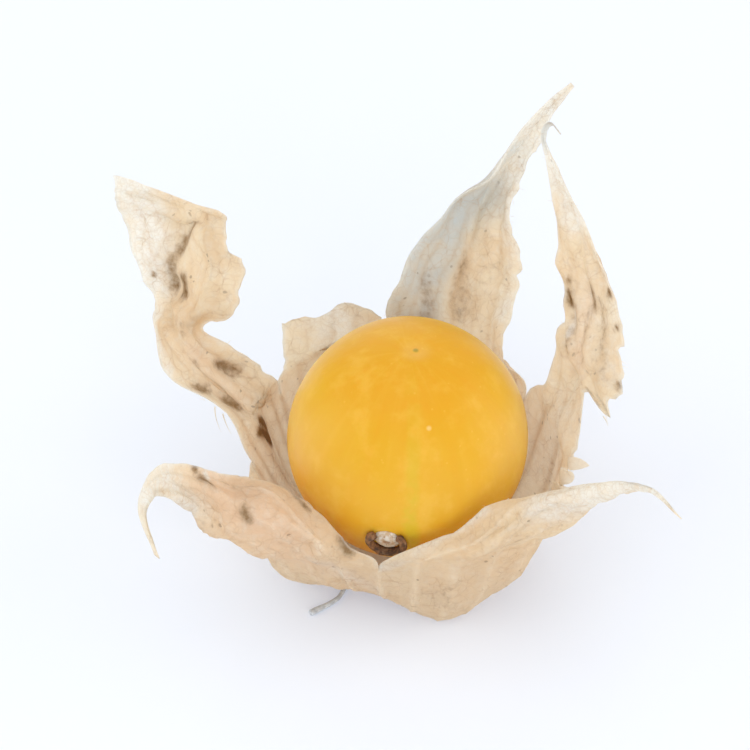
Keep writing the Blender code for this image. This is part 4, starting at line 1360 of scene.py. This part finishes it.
class GroundCherryHusk(bpy.types.PropertyGroup):
    """The husk's thickness, how much light it lets through, and its colours."""

    thickness: number_property(
        "Thickness",
        0.16 * MM,
        "Thickness of the husk's sheet between its veins",
        min=0.05 * MM,
        max=0.4 * MM,
        unit="LENGTH",
        precision=5,
    )
    see_through: number_property(
        "See-through", 0.64, "Share of light that passes the sheet", max=1, subtype="FACTOR"
    )
    tan: colour_property("Tan", (0.88, 0.70, 0.47), "Darker clouds of the sheet")
    # Also painted light, low in the cup
    light: colour_property("Light", (0.93, 0.81, 0.61), "Lighter clouds of the sheet")
    # Also painted light: pale strokes on lit faces and the painted highlight along the edges
    cream_and_highlight: colour_property("Cream", (0.955, 0.945, 0.90), "Bleached places and edges")
    pink: colour_property("Pink", (0.92, 0.70, 0.52), "Warmer regions low in front")
    # Painted shade, mostly on the back lobe's left half
    grey: colour_property("Grey", (0.64, 0.69, 0.71), "Mouldy grey patches")
    vein: colour_property("Vein", (0.56, 0.37, 0.20), "The net of veins")
    # Stains and specks, and also painted shade in a seam and a crease
    brown: colour_property("Brown", (0.19, 0.10, 0.028), "Stains and specks")


class GroundCherryStem(bpy.types.PropertyGroup):
    """Colours of the stem."""

    bark: colour_property("Bark", (0.66, 0.68, 0.69), "The stem in the light")
    bark_dark: colour_property("Dark bark", (0.44, 0.44, 0.44), "Darker patches of the stem")


class GroundCherryStage(bpy.types.PropertyGroup):
    """The table's colour and glow, and how strong the lights are."""

    table: colour_property("Table", (0.67, 0.67, 0.665), "The table top")
    glow: colour_property("Glow", (0.62, 0.73, 1.0), "Light that comes up through the table")
    glow_strength: number_property("Glow strength", 0.27, "Strength of that light")
    key: number_property("Key", 1.0, "Power of the soft light overhead", unit="POWER")
    side: number_property("Side", 0.8, "Power of the soft lights beside it", unit="POWER")
    front: number_property("Front", 1.5, "Power of the soft light in front", unit="POWER")
    fill: number_property("Fill", 0.78, "Strength of the light from all round")


class GROUNDCHERRY_OT_berry(bpy.types.Operator):
    """Make the berry's skin."""

    bl_idname = "groundcherry.berry"
    bl_label = "Berry"

    def execute(self, context):
        skin = skin_material(context.scene.ground_cherry_berry)
        fit(piece("berry_skin", *berry_surface(), skin), "berry")
        return {"FINISHED"}


class GROUNDCHERRY_OT_scar(bpy.types.Operator):
    """Make the berry's corky ring and the papery pad inside it."""

    bl_idname = "groundcherry.scar"
    bl_label = "Corky scar"

    def execute(self, context):
        look = context.scene.ground_cherry_berry
        ring = piece("scar_ring", *cork_ring_surface(), cork_material(look))
        fit(ring, "berry")
        fit(piece("scar_pad", *cork_pad_surface(), pad_material(look)), "berry")
        return {"FINISHED"}


class GROUNDCHERRY_OT_husk(bpy.types.Operator):
    """Make the husk's sheet, with its lobes, ribs and veins, and its loose fibres."""

    bl_idname = "groundcherry.husk"
    bl_label = "Husk"

    def execute(self, context):
        look = context.scene.ground_cherry_husk
        points, faces, marks = husk_surface(look.thickness / MM)
        paper = husk_material(look)
        fit(piece("husk_sheet", points, faces, paper, marks), "husk")
        points, faces = fibre_surface()
        marks = {name: np.zeros(len(points)) for name in marks}
        marks["pale"] += FIBRE_PALENESS
        fit(piece("husk_fibres", points, faces, paper, marks), "husk")
        return {"FINISHED"}


class GROUNDCHERRY_OT_stem(bpy.types.Operator):
    """Make the husk's stem."""

    bl_idname = "groundcherry.stem"
    bl_label = "Stem"

    def execute(self, context):
        bark = stem_material(context.scene.ground_cherry_stem)
        fit(piece("stem_bark", *stem_surface(), bark), "stem")
        return {"FINISHED"}


def area_light(name, place, size, power, colour):
    """A square soft light at a place in metres, turned towards the object."""
    lamp = bpy.data.lights.new(name, "AREA")
    lamp.size = size
    lamp.energy = power
    lamp.color = colour
    made = bpy.data.objects.new(name, lamp)
    made.location = place
    towards = Vector(LIGHT_TARGET) - made.location
    made.rotation_euler = towards.to_track_quat("-Z", "Y").to_euler()
    bpy.context.collection.objects.link(made)


def camera_over_table():
    """A camera that looks down so that the berry stands in the picture as in the photograph."""
    tilt = np.radians(VIEW_ELEVATION)
    up = np.array([0, np.sin(tilt), np.cos(tilt)])
    back = np.array([0, -np.cos(tilt), np.sin(tilt)])
    right_of_berry = (PICTURE_WIDTH / 2 - BERRY_IN_PICTURE[0]) * PIXEL_LENGTH
    over_berry = (BERRY_IN_PICTURE[1] - PICTURE_WIDTH / 2) * PIXEL_LENGTH
    target = AXIS + [right_of_berry, 0, BERRY_HEIGHT] + up * over_berry
    lens = bpy.data.cameras.new("camera")
    lens.sensor_width = SENSOR_WIDTH
    lens.lens = SENSOR_WIDTH * VIEW_DISTANCE / (PICTURE_WIDTH * PIXEL_LENGTH)
    lens.clip_start = MM
    camera = bpy.data.objects.new("camera", lens)
    camera.location = (target + back * VIEW_DISTANCE) * MM
    camera.rotation_euler = (np.pi / 2 - tilt, 0, 0)
    bpy.context.collection.objects.link(camera)
    return camera


class GROUNDCHERRY_OT_stage(bpy.types.Operator):
    """Make the table, the soft lights and the camera."""

    bl_idname = "groundcherry.stage"
    bl_label = "Stage"

    def execute(self, context):
        look = context.scene.ground_cherry_stage
        sides = [-TABLE_HALF, TABLE_HALF]
        corners = np.stack(np.meshgrid(sides, sides, 0.0), axis=-1).reshape(-1, 3) - AXIS
        table = piece("table", corners, grid_faces(2, 2), table_material(look))
        table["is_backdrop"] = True
        for name, place, size, power, share, colour in LIGHTS:
            area_light(name, place, size, share * getattr(look, power), colour)

        world = bpy.data.worlds.new("studio")
        world.use_nodes = True
        sky = world.node_tree.nodes["Background"]
        sky.inputs["Color"].default_value = SKY
        sky.inputs["Strength"].default_value = look.fill
        context.scene.world = world
        context.scene.view_settings.view_transform = "Standard"
        context.scene.camera = camera_over_table()
        return {"FINISHED"}


class GROUNDCHERRY_PT_panel(bpy.types.Panel):
    """The pieces, and the sizes and colours that they are made with."""

    bl_label = "Ground cherry"
    bl_idname = "GROUNDCHERRY_PT_panel"
    bl_space_type = "VIEW_3D"
    bl_region_type = "UI"
    bl_category = "Ground cherry"

    def draw(self, context):
        for operator in OPERATORS:
            self.layout.operator(operator.bl_idname)
        for group in GROUPS:
            look = getattr(context.scene, group)
            box = self.layout.box()
            for name in look.bl_rna.properties.keys():
                if name not in ("rna_type", "name"):
                    box.prop(look, name)


OPERATORS = (
    GROUNDCHERRY_OT_berry,
    GROUNDCHERRY_OT_scar,
    GROUNDCHERRY_OT_husk,
    GROUNDCHERRY_OT_stem,
    GROUNDCHERRY_OT_stage,
)
GROUPS = {
    "ground_cherry_berry": GroundCherryBerry,
    "ground_cherry_husk": GroundCherryHusk,
    "ground_cherry_stem": GroundCherryStem,
    "ground_cherry_stage": GroundCherryStage,
}


def register():
    """Registers the classes and gives each scene its groups of properties."""
    for group in (*GROUPS.values(), *OPERATORS, GROUNDCHERRY_PT_panel):
        bpy.utils.register_class(group)
    for name, group in GROUPS.items():
        setattr(bpy.types.Scene, name, bpy.props.PointerProperty(type=group))


def unregister():
    """Takes both away again."""
    for name in GROUPS:
        delattr(bpy.types.Scene, name)
    for group in (GROUNDCHERRY_PT_panel, *reversed(OPERATORS), *GROUPS.values()):
        bpy.utils.unregister_class(group)


def main():
    register()
    bpy.ops.groundcherry.berry()
    bpy.ops.groundcherry.scar()
    bpy.ops.groundcherry.husk()
    bpy.ops.groundcherry.stem()
    bpy.ops.groundcherry.stage()
    boxes = {"cad": CAD_BOX, "visual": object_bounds()}
    boxes = {name: [list(corner) for corner in box] for name, box in boxes.items()}


if __name__ == "__main__":
    main()
